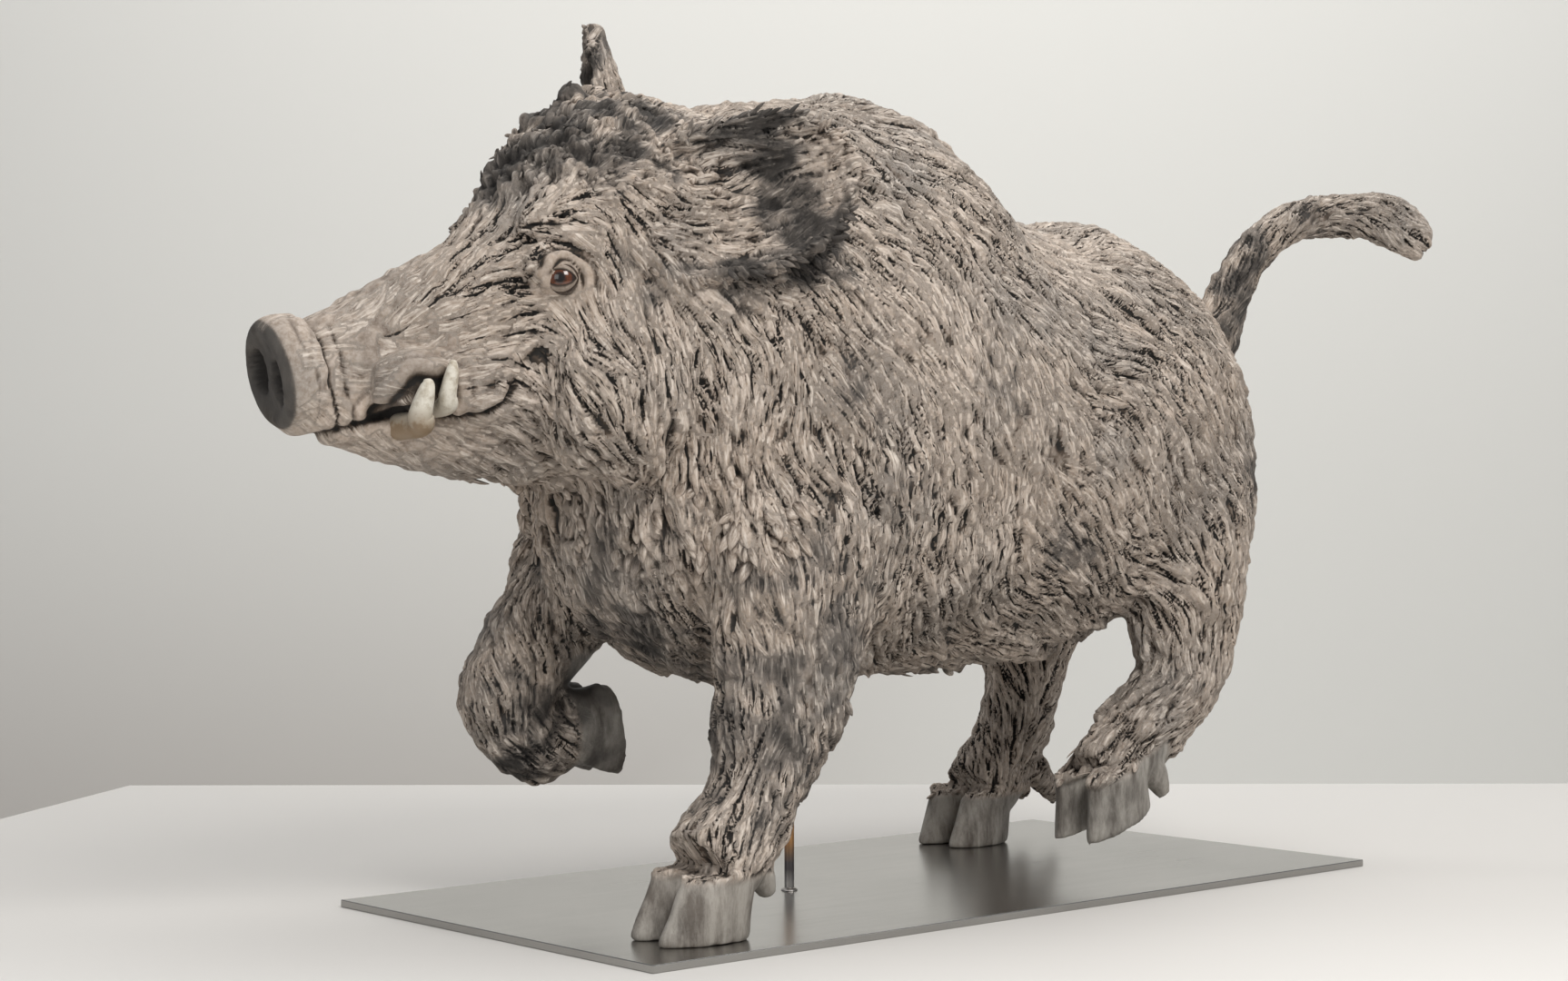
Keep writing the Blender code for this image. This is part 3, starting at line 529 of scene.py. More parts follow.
# %% Hooves, ears and snout
def claw(place, inward):
    """One half of a cloven hoof: egg-shaped rings from the sole up to the coronet."""
    x, y, z, pitch, yaw = place
    angle = np.linspace(0, 2 * math.pi, 32, endpoint=False)
    toe = np.cos(angle)
    share = np.array([0.0, 0.06, 0.25, 0.5, 0.75, 0.92, 1.0, 1.12])[:, None]
    length = HOOF_LENGTH / 2 * (1.0 - 0.20 * share) * np.where(share == 0, 0.95, 1.0)
    width = CLAW_WIDTH / 2 * (1.0 - 0.25 * np.clip(toe, 0, 1) ** 2) * (1.0 + 0.06 * share)
    along = -toe * length - 1.6 + 1.9 * share
    sideways = np.sin(angle) * width + inward * (CLAW_WIDTH + CLAW_SPLIT) / 2
    rings = np.stack([along, sideways, (share - 1.0) * HOOF_HEIGHT + 0 * toe], -1)
    p, w = math.radians(pitch), math.radians(yaw)
    tip = np.array([[math.cos(p), 0, -math.sin(p)], [0, 1, 0], [math.sin(p), 0, math.cos(p)]])
    turn = np.array([[math.cos(w), -math.sin(w), 0], [math.sin(w), math.cos(w), 0], [0, 0, 1]])
    return skin(rings @ (turn @ tip).T + np.array([x, y, z]))


def dewclaw(row):
    root, tip, radius = np.array(row[:3]), np.array(row[3:6]), row[6]
    share = np.array([0, 0.4, 0.8, 1.0])[:, None]
    size = radius * (1 - 0.55 * share**2)
    return tube(np.hstack([root + (tip - root) * share, size, size]), around=16)


def ear_frame(side):
    """Root, the line from root to tip, the way the cup opens, and the way across it."""
    root, tip, opens = (np.array(v, float) for v in EARS[side])
    axis = tip - root
    opens = opens - axis * (opens @ axis) / (axis @ axis)
    opens /= np.linalg.norm(opens)
    return root, axis, opens, np.cross(axis, opens) / np.linalg.norm(axis)


def ear(side):
    """Across v from -1 to 1 and along s from 0 to 1: the cup is deepest where v is 0."""
    root, axis, opens, across = ear_frame(side)
    s = np.linspace(0, 1, 24)[:, None]
    half = np.interp(s, np.linspace(0, 1, 6), EAR_HALF_WIDTHS[side])
    cup = EAR_CUPS[side] * (1 - s) ** 0.6 + 0.4
    wall = EAR_WALL * (1 - 0.45 * s)
    v = np.linspace(-1, 1, 19)[None]
    inner = np.stack([v * half, -cup * (1 - v**2)], -1)
    outer = np.stack([-v * (half + 0.4 * wall), -(cup + wall) * (1 - v**2) - 0.5 * wall], -1)
    flat = np.concatenate([inner, outer], 1)
    rings = root + axis * s[..., None] + flat[..., :1] * across + flat[..., 1:] * opens
    return skin(turned_head(rings))


def snout_axes():
    forward = np.array([-math.cos(SNOUT_TILT), 0, -math.sin(SNOUT_TILT)])
    upward = np.array([-math.sin(SNOUT_TILT), 0, math.cos(SNOUT_TILT)])
    return forward, upward, np.array([0.0, 1.0, 0.0])


def snout_disc():
    """A fleshy rim turned round the snout's axis, with a shallow hollow face."""
    rows = smooth_rows(SNOUT_DISC, 3)[:, None]
    angle = np.linspace(0, 2 * math.pi, 40, endpoint=False)[None, :, None]
    forward, upward, sideways = snout_axes()
    rise = np.cos(angle)
    rings = np.array(SNOUT_PLACE) + forward * rows[..., 0:1] + sideways * rows[..., 3:4] * np.sin(angle)
    rings = rings + upward * np.where(rise > 0, rows[..., 1:2], rows[..., 2:3]) * rise
    return skin(turned_head(rings))


# %% [markdown]
# ## One skin
# The forms only overlap. A voxel remesh wraps one closed skin round all of them, as wet clay
# is smeared over joints, and a Smooth modifier rounds the seams. It runs twice: first coarse
# with strong smoothing for torso, legs and tail, then at 2.2 mm with the small forms added,
# which is fine enough for cracks a few millimetres wide.

# %% Fuse the forms
COARSE_CELL = 0.0042
FINE_CELL = 0.0022


def read(mesh_items, prop, width, kind=np.float32):
    flat = np.empty(len(mesh_items) * width, kind)
    mesh_items.foreach_get(prop, flat)
    return flat.reshape(-1, width) if width > 1 else flat


def fused(forms, cell, rounds):
    """One closed skin over forms that overlap: a voxel remesh, then rounds of smoothing."""
    starts = np.cumsum([0] + [len(points) for points, faces in forms])
    faces = [[start + v for v in face] for start, form in zip(starts, forms) for face in form[1]]
    mesh = bpy.data.meshes.new("forms")
    mesh.from_pydata(np.vstack([points for points, _ in forms]), [], faces)
    holder = bpy.data.objects.new("forms", mesh)
    bpy.context.scene.collection.objects.link(holder)
    remesh = holder.modifiers.new("fuse", "REMESH")
    remesh.mode = "VOXEL"
    remesh.voxel_size = cell / UNIT
    smooth = holder.modifiers.new("round", "SMOOTH")
    smooth.factor = 0.5
    smooth.iterations = rounds
    graph = bpy.context.evaluated_depsgraph_get()
    finished = bpy.data.meshes.new_from_object(holder.evaluated_get(graph))
    bpy.data.objects.remove(holder, do_unlink=True)
    return finished


trunk_forms = [torso(), head(), tube(TAIL)]
trunk_forms += [tube(leg) for leg in (LEFT_FORELEG, RIGHT_FORELEG, LEFT_HINDLEG, RIGHT_HINDLEG)]
trunk_forms += paired_eggs(BODY_SWELLINGS) + paired_eggs(HEAD_SWELLINGS, turned_head)
trunk = fused(trunk_forms, COARSE_CELL, 14)
trunk_faces = read(trunk.polygons, "loop_total", 1, np.int32)
trunk_loops = read(trunk.loops, "vertex_index", 1, np.int32)
trunk_rings = np.split(trunk_loops, np.cumsum(trunk_faces)[:-1])
trunk_form = (read(trunk.vertices, "co", 3), [ring.tolist() for ring in trunk_rings])
small_forms = [snout_disc(), ear("left"), ear("right")]
small_forms += paired_eggs(LIP_AND_LIDS, turned_head)
small_forms += [egg(row, turned_head) for row in FOREHEAD_CLUMPS]
small_forms += [claw(place, inward) for place in HOOVES.values() for inward in (-1, 1)]
small_forms += [dewclaw(row) for row in DEWCLAWS]
whole = fused([trunk_form] + small_forms, FINE_CELL, 4)
skin_points = read(whole.vertices, "co", 3).astype(float)
skin_normals = read(whole.vertex_normals, "vector", 3).astype(float)
print("fused skin:", len(skin_points), "points")

# %% [markdown]
# ## The way the hair lies
# Every stroke of the sculptor's tool follows the lie of the hair. A few dozen control
# places each say which way the hair runs there. Any other point takes an average of all of
# them, weighted by one over distance to the fourth, then the direction is laid flat on the
# skin and turned a little by slow waves, so that no two strokes run quite parallel.

# %% Lie of the hair
# place x, y, z and direction; the first list is mirrored to the right side
FLOW_PAIRED = [
    (-20, -8, 95, 1.0, -0.35, -0.15),
    (0, -8, 96, 1.0, -0.4, -0.35),
    (12, -8, 86, 0.8, -0.4, -0.7),
    (30, -8, 83, 1.0, -0.35, -0.2),
    (48, -8, 78, 0.9, -0.3, -0.6),
    (60, -5, 68, 0.5, -0.1, -1.0),
    (-15, -20, 80, 0.55, -0.2, -0.9),
    (5, -20, 78, 0.6, -0.2, -0.85),
    (25, -20, 72, 0.85, -0.2, -0.6),
    (45, -18, 68, 0.7, -0.1, -0.8),
    (58, -12, 60, 0.25, 0.0, -1.0),
    (-22, -24, 58, 0.35, 0.0, -1.0),
    (-5, -26, 58, 0.35, 0.0, -1.0),
    (15, -26, 55, 0.75, 0.0, -0.8),
    (35, -25, 52, 0.7, 0.0, -0.8),
    (52, -20, 50, 0.15, 0.0, -1.0),
    (-25, -22, 38, 0.1, 0.0, -1.0),
    (-10, -24, 38, 0.45, 0.0, -0.9),
    (10, -24, 36, 0.85, 0.0, -0.6),
    (25, -22, 36, 0.8, 0.0, -0.55),
    (40, -18, 38, 0.15, 0.0, -1.0),
    (-10, -8, 26, 1.0, 0.0, -0.3),
    (15, -8, 27, 1.0, 0.0, -0.3),
    (-42, -6, 45, 0.3, 0.0, -1.0),
    (-36, -8, 34, 0.6, 0.1, -0.8),
    (-80, -5, 60, 0.95, -0.1, 0.3),
    (-72, -6, 70, 0.9, 0.0, 0.45),
    (-70, -8, 58, 1.0, -0.1, 0.1),
    (-62, -10, 68, 0.9, -0.1, 0.2),
    (-56, -13, 66, 0.5, -0.1, -0.85),
    (-60, -12, 58, 0.45, 0.0, -0.9),
    (-60, -8, 51, 0.85, 0.0, -0.4),
    (-50, -18, 60, 0.3, 0.0, -0.95),
    (-45, -18, 50, 0.25, 0.0, -1.0),
    (-36, -20, 52, 0.3, 0.0, -1.0),
    (-36, -20, 68, 0.5, -0.1, -0.85),
    (-50, -14, 78, 0.8, -0.1, -0.55),
    (-55, -5, 86, 0.7, 0.0, 0.7),
    (-42, -6, 95, 1.0, -0.1, 0.1),
]
FLOW_SINGLE = [
    (-34, -21, 82, 0.85, -0.45, 0.33),
    (-37, 14, 97, 0.0, 0.0, 1.0),
    (-30, -18, 40, -0.15, 0.0, -1.0),
    (-33, -19, 26, -0.2, 0.0, -1.0),
    (-37, -20, 13, -0.4, 0.0, -1.0),
    (-30, 16, 46, -0.5, 0.0, -0.87),
    (-38, 17, 35, -0.55, 0.0, -0.83),
    (-45, 17, 25, -0.1, 0.0, -1.0),
    (-42, 17, 19, 0.8, 0.0, -0.3),
    (40, -16, 40, 0.0, 0.0, -1.0),
    (38.5, -17, 28, -0.1, 0.0, -1.0),
    (32, -17.6, 19, -0.75, 0.0, -0.7),
    (25, -17.6, 14, -0.6, 0.0, -0.8),
    (46, 16, 38, 0.0, 0.0, -1.0),
    (46, 17, 28, 0.0, 0.0, -1.0),
    (43, 18, 15, -0.4, 0.0, -1.0),
    (37, 18, 8, -0.4, 0.0, -1.0),
    (66, 0, 70, 0.35, 0.0, 1.0),
    (70, -0.7, 80, 0.5, -0.1, 0.9),
    (80, -3, 88.5, 0.9, -0.3, 0.35),
    (92, -6.5, 90, 1.0, -0.3, -0.05),
    (101, -9.5, 88, 0.8, -0.3, -0.6),
]


def waves(points, size, seed):
    """Smooth noise between about -1 and 1: nine sine waves in random directions, summed."""
    rng = np.random.default_rng(seed)
    ways = rng.normal(size=(9, 3))
    lengths = np.linalg.norm(ways, axis=1, keepdims=True)
    ways *= (2 * math.pi / size) * rng.uniform(0.6, 1.5, (9, 1)) / lengths
    return np.sin(points @ ways.T + rng.uniform(0, 2 * math.pi, 9)).sum(1) / 3.0


def smooth_step(low, high, value):
    """3t^2 - 2t^3, where t runs from 0 at low to 1 at high."""
    t = np.clip((value - low) / (high - low), 0, 1)
    return t * t * (3 - 2 * t)


def unit(vectors):
    return vectors / np.maximum(np.linalg.norm(vectors, axis=-1, keepdims=True), 1e-9)


def hair_flow(points, normals):
    paired = np.array(FLOW_PAIRED, float)
    control = np.vstack([paired, paired * [1, -1, 1, 1, -1, 1], np.array(FLOW_SINGLE, float)])
    flow = np.empty_like(points)
    for part in np.array_split(np.arange(len(points)), len(points) // 20000 + 1):
        gap = ((points[part, None] - control[None, :, :3]) ** 2).sum(-1)
        flow[part] = (1 / (gap + 4.0) ** 2) @ unit(control[:, 3:])
    flow = unit(flow - normals * (flow * normals).sum(1, keepdims=True))
    angle = (0.28 * waves(points, 22, 1) + 0.22 * waves(points, 8, 2))[:, None]
    return flow * np.cos(angle) + np.cross(normals, flow) * np.sin(angle)


flow = hair_flow(skin_points, skin_normals)
across_flow = np.cross(skin_normals, flow)
print("hair lies along", len(FLOW_PAIRED) * 2 + len(FLOW_SINGLE), "control directions")

# %% [markdown]
# ## Where each kind of mark goes
# The real figure isn't hairy all over. Hooves and the snout's disc are smooth, the snout
# carries only fine scratches, locks are longest on jowl and belly, and the forehead is
# rough with pellets of clay. Each region is a smooth mask between 0 and 1.

# %% Regions
head_points = turned_head(skin_points, HEAD_TURN)
hx, hy, hz = head_points.T
px, pz = skin_points[:, 0], skin_points[:, 2]


def near_rows(points, rows, reach):
    """1 inside the reach of any row's ball, falling to 0 at twice the reach."""
    gap = np.min([np.linalg.norm(points - np.array(row[:3]), axis=1) / reach for row in rows], axis=0)
    return 1 - smooth_step(1.0, 2.0, gap)


def hoof_mask(points):
    """1 below the coronet of each hoof, in the hoof's own leaning frame."""
    mask = np.zeros(len(points))
    for x, y, z, pitch, yaw in HOOVES.values():
        p = math.radians(pitch)
        local = points - np.array([x, y, z])
        height = local @ np.array([-math.sin(p), 0, math.cos(p)])
        close = smooth_step(11.5, 9.5, np.linalg.norm(local, axis=1))
        mask = np.maximum(mask, smooth_step(0.6, -0.4, height) * close)
    return mask


snout_forward = snout_axes()[0]
snout_depth = -(head_points - np.array(SNOUT_PLACE)) @ snout_forward
disc_mask = smooth_step(0.9, 0.3, snout_depth) * smooth_step(-74, -77, hx)
rim = smooth_step(3.4, 2.4, snout_depth + 0.4 * waves(skin_points, 5, 20)) * smooth_step(-72, -75, hx)
hoof = hoof_mask(skin_points)
eye_gap = np.linalg.norm(head_points[:, ::2] - np.array(EYE_HOME)[::2], axis=1)
eye_gap = np.where((np.abs(hy) > 6) & (hx < -50), eye_gap + 0.25 * waves(skin_points, 4.5, 27), 99.0)
lip = near_rows(head_points, [LIP_AND_LIDS[0], other_side(LIP_AND_LIDS[0])], 3.1)
bare = np.maximum(hoof, rim)
near_eye = smooth_step(4.0, 3.0, eye_gap)
snout = smooth_step(-59, -68, hx)
forehead = smooth_step(-36, -42, hx) * smooth_step(-61, -57, hx) * smooth_step(80, 84, hz)
left_ear_here = smooth_step(-12.5, -15.5, hy) * smooth_step(70, 74, hz)
left_ear_here = left_ear_here * smooth_step(-19, -22, hx) * smooth_step(-50, -46, hx)
right_ear_here = smooth_step(94.5, 97, hz) * smooth_step(-30, -32, hx) * (hy > 5)
ears = np.maximum(left_ear_here, right_ear_here)


def on_ear(points, side):
    """How far along the ear a point lies, 0 to 1, and how far across, -1 to 1 at its rims."""
    root, axis, opens, across = ear_frame(side)
    along = (points - root) @ axis / (axis @ axis)
    half = np.interp(along, np.linspace(0, 1, 6), EAR_HALF_WIDTHS[side])
    return along, (points - root) @ across / half


ear_along, ear_across = on_ear(head_points, "left")
ear_left = ears * (hy < 0)
ear_rim = ear_left * smooth_step(0.62, 0.92, np.abs(ear_across))
jowl = smooth_step(-64, -58, px) * smooth_step(-32, -38, px)
jowl = jowl * smooth_step(60, 54, pz) * smooth_step(38, 44, pz)
belly = smooth_step(36, 30, pz) * smooth_step(-32, -24, px) * smooth_step(36, 28, px)
legs = smooth_step(36, 28, pz) * (1 - belly)
tail = smooth_step(62, 67, px)
hairy = (1 - bare) * (1 - near_eye) * (1 - 0.9 * lip)
print("bare skin on", round(float(bare.mean() * 100), 1), "% of the figure")

# %% [markdown]
# ## Marks of the tool
# One stamp makes every mark: each stroke has a place, a length, a width and a bend, and
# raises or cuts the points near it. With u from 0 to 1 along a stroke and v across it, a lock
# rises slowly with u and ends in a drop, and a crack is a sharp V that is widest halfway.
# To find the points near each stroke quickly, the points are sorted into a grid of cells.

# %% Stroke stamps
def near_pairs(points, centres, reach):
    """Pairs of stroke and point that may lie within the reach, a block of strokes at a time."""
    low = points.min(0) - 2 * reach
    cells = np.floor((points - low) / reach).astype(np.int64)
    shape = cells.max(0) + 3
    keys = (cells[:, 0] * shape[1] + cells[:, 1]) * shape[2] + cells[:, 2]
    order = np.argsort(keys, kind="stable")
    keys = keys[order]
    homes = np.floor((centres - low) / reach).astype(np.int64)
    steps = np.array([(i, j) for i in (-1, 0, 1) for j in (-1, 0, 1)])
    for block in np.array_split(np.arange(len(centres)), len(centres) // 1500 + 1):
        column = (homes[block, None, 0] + steps[:, 0]) * shape[1] + homes[block, None, 1] + steps[:, 1]
        first = np.searchsorted(keys, column * shape[2] + homes[block, None, 2] - 1, "left").ravel()
        last = np.searchsorted(keys, column * shape[2] + homes[block, None, 2] + 1, "right").ravel()
        count = last - first
        stroke = np.repeat(np.repeat(block, len(steps)), count)
        start = np.repeat(first - np.concatenate([[0], np.cumsum(count)[:-1]]), count)
        yield stroke, order[start + np.arange(count.sum())]


def lock_shape(u, v):
    """A dome across, rising along the lock and ending in a rounded drop."""
    narrow = 1.15 - 0.75 * smooth_step(0.35, 1.0, u)
    dome = np.clip(1 - (v / narrow) ** 2, 0, 1) ** 0.7
    return dome * smooth_step(0.0, 0.8, u) * smooth_step(1.04, 0.9, u)


def crack_shape(u, v):
    """A V across, as wide as 1 - (2u - 1)^2 along the crack; below 0.5 is round the crack."""
    open_share = np.clip(1 - (2 * u - 1) ** 2, -1, 1)
    return np.clip(0.5 + 0.5 * (open_share - np.abs(v)) / (1 + np.abs(v)), 0, 1)


def pellet_shape(u, v):
    """A round drop of clay pressed on the skin."""
    return np.clip(1 - (2 * u - 1) ** 2 - v**2, 0, 1) ** 0.5


def stamp(shape, seeds, lengths, widths, bends, powers, margin=1.3):
    """The strongest of the overlapping strokes at each point, and where on that stroke it lies."""
    marks, where = np.zeros(len(skin_points)), np.full((len(skin_points), 3), [0.0, 3.0, 0.0])
    for stroke, point in near_pairs(skin_points, skin_points[seeds], 0.52 * lengths.max()):
        home = seeds[stroke]
        offset = skin_points[point] - skin_points[home]
        along = (offset * flow[home]).sum(1)
        v = ((offset * across_flow[home]).sum(1) + bends[stroke] * along**2) * 2 / widths[stroke]
        close = (np.abs(v) < margin) & (np.abs(along) < 0.55 * lengths[stroke])
        stroke, point, home, along, v = stroke[close], point[close], home[close], along[close], v[close]
        facing = (skin_normals[point] * skin_normals[home]).sum(1) > 0.3
        value = shape(along / lengths[stroke] + 0.5, v) * powers[stroke] * facing
        rising = np.argsort(value)
        rising = rising[value[rising] > marks[point[rising]]]
        marks[point[rising]] = value[rising]
        where[point[rising]] = np.stack([along, v, stroke], 1)[rising]
    return marks, where


def strokes(shape, weight, count, length, width, low, seed, margin=1.3):
    """Stamps so many strokes of one kind, more of them where the weight is high."""
    rng = np.random.default_rng(seed)
    count = int(count * DENSITY)
    share = np.maximum(weight, 0)
    seeds = rng.choice(len(skin_points), count, p=share / share.sum())
    sizes = rng.uniform([0.6, 0.65, low], [1.4, 1.4, 1.0], (count, 3))
    bends = rng.normal(0, 0.2 / length, count)
    lengths, widths = length * sizes[:, 0], width * sizes[:, 1]
    marks, where = stamp(shape, seeds, lengths, widths, bends, sizes[:, 2], margin)
    return marks, where, lengths, widths


def solid_locks():
    """The big locks, from the same darts as on the solid: a dart near the skin becomes a lock."""
    rng = np.random.default_rng(7)
    darts = rng.uniform(*FIGURE_BOX, (LOCK_DARTS, 3))
    sizes = rng.uniform([0.7, 0.7, -0.03, 0.6], [1.3, 1.3, 0.03, 1.0], (LOCK_DARTS, 4))
    best, found = np.full(LOCK_DARTS, DART_REACH), np.full(LOCK_DARTS, -1)
    for dart, point in near_pairs(skin_points, darts, DART_REACH):
        gap = np.linalg.norm(skin_points[point] - darts[dart], axis=1)
        falling = np.argsort(-gap)
        falling = falling[gap[falling] < best[dart[falling]]]
        best[dart[falling]], found[dart[falling]] = gap[falling], point[falling]
    kept = found >= 0
    length, width, bend, power = sizes[kept].T
    return stamp(lock_shape, found[kept], LOCK_LENGTH * length, LOCK_WIDTH * width, bend, power)[0]


DENSITY = 1.0
tufts = solid_locks()
lock_weight = hairy * (1 - 0.6 * snout)
locks, lock_where, lock_lengths, lock_widths = strokes(lock_shape, lock_weight, 11000, 5.5, 1.5, 0.2, 8)
hairs = strokes(lock_shape, hairy, 26000, 3.0, 0.62, 0.1, 9)[0]
crack_weight = hairy * (1 - 0.75 * forehead) * (1 - 0.85 * snout) * smooth_step(-76, -69, hx)
crack_marks, crack_where, crack_lengths, _ = strokes(
    crack_shape, crack_weight, 11500, 3.6, 0.32, 0.99, 10, 3.8
)
pellets = strokes(pellet_shape, forehead * hairy, 420, 1.7, 1.5, 0.4, 12)[0]

# crack_place is u and v of the nearest crack and how deep it is, for a sharp line in the material
crack_id = crack_where[:, 2].astype(int)
crack_depth = np.random.default_rng(13).uniform(0.25, 1.0, len(crack_lengths))[crack_id]
crack_depth *= (0.6 + 0.4 * waves(skin_points, 30, 14)) * hairy
crack_depth *= smooth_step(3.6, 2.0, np.abs(crack_where[:, 1])) * (crack_marks > 0)
crack_along = crack_where[:, 0] / crack_lengths[crack_id] + 0.5
crack_place = np.stack([crack_along, crack_where[:, 1], crack_depth], 1)
cracks = np.clip(crack_marks * 2 - 1, 0, 1) * crack_depth
print("stamped", len(lock_lengths), "locks; cracks cover", round(float((cracks > 0).mean()), 2))

# %% [markdown]
# ## Mouth, nostrils and folds of the snout
# These are single lines, so each is measured straight from its own line or centre. The
# mouth is a groove with a lip on both sides, the nostrils go in along the snout, and three
# folds of skin lie behind the disc. Over the tusks the lip is an arch round a hollow, and
# two creases bend over each eye.

# %% Face marks
def bell(offset, width):
    """A smooth ridge: e to the power of minus (offset / width)^2."""
    return np.exp(-((offset / width) ** 2))


def line_gap(flat, line):
    """Distance from points of a plane to a line of straight pieces."""
    gap = np.full(len(flat), 1e9)
    for a, b in zip(line[:-1], line[1:]):
        t = np.clip(((flat - a) @ (b - a)) / ((b - a) @ (b - a)), 0, 1)
        gap = np.minimum(gap, np.linalg.norm(flat - a - t[:, None] * (b - a), axis=1))
    return gap


SNOUT_FOLDS = [(2.6, 0.3), (4.9, 1.0), (6.6, 0.5)]  # depth, power
LIP_MIDDLE = (-71.0, 58.2)  # x, z of the arch of flesh over the tusks
mouth_gap = line_gap(head_points[:, [0, 2]], smooth_rows(np.array(MOUTH)[:, [0, 2]], 4))
mouth_here = (hx < -58) & (hz < 64)
mouth = np.where(mouth_here, bell(mouth_gap, 0.42), 0)
mouth = mouth * (0.45 + 0.55 * smooth_step(-77, -72, hx))
lips = np.where(mouth_here, bell(mouth_gap - 1.2, 0.7), 0)


def nostril_share(points):
    forward, upward, sideways = snout_axes()
    share = np.zeros(len(points))
    for place in NOSTRILS:
        offset = points - np.array(place)
        oval = (offset @ sideways / NOSTRIL_SIZE[0]) ** 2 + (offset @ upward / NOSTRIL_SIZE[1]) ** 2
        share = np.maximum(share, smooth_step(1.25, 0.65, oval) * (np.abs(offset @ forward) < 2.2))
    return share


nostrils = nostril_share(head_points)
wandering = snout_depth + 0.3 * waves(skin_points, 6, 21)
folds = sum(power * bell(wandering - depth, 0.28) for depth, power in SNOUT_FOLDS)
folds = folds * smooth_step(2.0, 4.0, np.abs(hy)) * smooth_step(-70, -74, hx)
lip_x, lip_z = hx - LIP_MIDDLE[0] - 0.25 * (hz - LIP_MIDDLE[1]), hz - LIP_MIDDLE[1]
lip_gap = np.hypot(lip_x / 1.15, lip_z) + 0.3 * waves(skin_points, 5, 26)
lip_here = (hx < -62) * smooth_step(-2.6, -0.6, lip_z) * smooth_step(3.0, 5.0, np.abs(hy))
lip_arch = lip_here * (bell(lip_gap - 4.2, 0.6) + 0.5 * bell(lip_gap - 5.6, 0.45))
lip_hollow = lip_here * smooth_step(3.9, 2.9, lip_gap)
above_eye = smooth_step(-1.2, 0.6, hz - EYE_HOME[2] + 0.45 * (hx - EYE_HOME[0]))
eye_lines = above_eye * (bell(eye_gap - 2.05, 0.22) + 0.9 * bell(eye_gap - 3.25, 0.3))
eye_lines += 0.3 * (1 - above_eye) * bell(eye_gap - 2.6, 0.25)
eye_folds = 0.8 * above_eye * bell(eye_gap - 2.65, 0.4) - 0.55 * eye_lines
socket = smooth_step(1.8, 1.2, eye_gap)

hair_size = 0.72 + 0.4 * jowl + 0.45 * belly - 0.2 * legs - 0.25 * tail - 0.68 * snout
hair_size = hairy * hair_size * (1 + 0.35 * ear_left - 0.6 * (ears - ear_left))
relief = hair_size * (1.2 * tufts + 0.6 * locks + 0.24 * hairs - 0.5)
relief -= hairy * (1 - 0.5 * snout) * 1.1 * cracks
relief += 0.7 * pellets + 0.4 * forehead * waves(skin_points, 3.2, 23) * hairy
relief += (1 - bare) * (1 - lip) * 0.12 * waves(skin_points, 2.2, 24) + 0.06 * waves(skin_points, 4, 25)
relief += 0.5 * eye_folds - 0.42 * folds - 1.1 * mouth + 0.25 * lips - 0.8 * socket
relief += 0.7 * lip_arch - 0.9 * lip_hollow
forward_turned = turned_head(snout_forward + np.array([*HEAD_PIVOT, 0])) - np.array([*HEAD_PIVOT, 0])
raised = skin_points + skin_normals * relief[:, None] - forward_turned * (NOSTRIL_DEPTH * nostrils)[:, None]
raised[:, 2] = np.maximum(raised[:, 2], 0.0)
print("relief from", round(float(relief.min()), 2), "to", round(float(relief.max()), 2), "hundredths")

# %% [markdown]
# ## Where the colour sits
# The clay is washed with dark oxide, which stays in every hollow and is wiped off the
# crests. So the wash can be found from the shape: a point that lies below the mean of its
# neighbours is a hollow. The broad hollows, the nostrils, the roots of the flakes and the
# edges of the lids are darkened further as painted shade, so the wash is oxide and painted
# shade together. Soot from the firing lies in broad clouds, given as soft balls; the clouds
# under the jowl and the dark middle of the near ear's cup are painted shade.

# %% Wash, painted shade, soot and warmth
edges = read(whole.edges, "vertices", 2, np.int32)


def blurred(values, rounds):
    """Each value becomes the mean of its neighbours' values, this many times."""
    both = np.concatenate([edges, edges[:, ::-1]])
    count = np.maximum(np.bincount(both[:, 0], minlength=len(values)), 1)
    for _ in range(rounds):
        values = np.bincount(both[:, 0], weights=values[both[:, 1]], minlength=len(values)) / count
    return values


fine_hollow = blurred(relief, 3) - relief
# painted shade: the broad hollows, thirty rounds of blur wide, darken as shade would darken them
broad_hollow = blurred(relief, 30) - relief
wash_and_shade = np.clip(0.34 + 1.5 * fine_hollow + 0.35 * broad_hollow, 0, 1)
# painted shade: the nostrils are dark as deep holes
wash_and_shade = np.maximum(wash_and_shade, smooth_step(0.1, 0.8, nostrils))
# mouth, snout folds, the hollow over the tusks and the lines round the eye darken as oxide wash and painted
# shade
wash_and_shade = np.clip(wash_and_shade + 0.55 * mouth + 0.3 * folds + 0.36 * lip_hollow + 0.22 * eye_lines, 0, 1)

# hair_place runs along and across each lock, for the fine lines on it
lock_id = lock_where[:, 2].astype(int)
hair_place = np.stack([lock_where[:, 0], lock_where[:, 1] * lock_widths[lock_id] / 2, 0.37 * lock_id], 1)
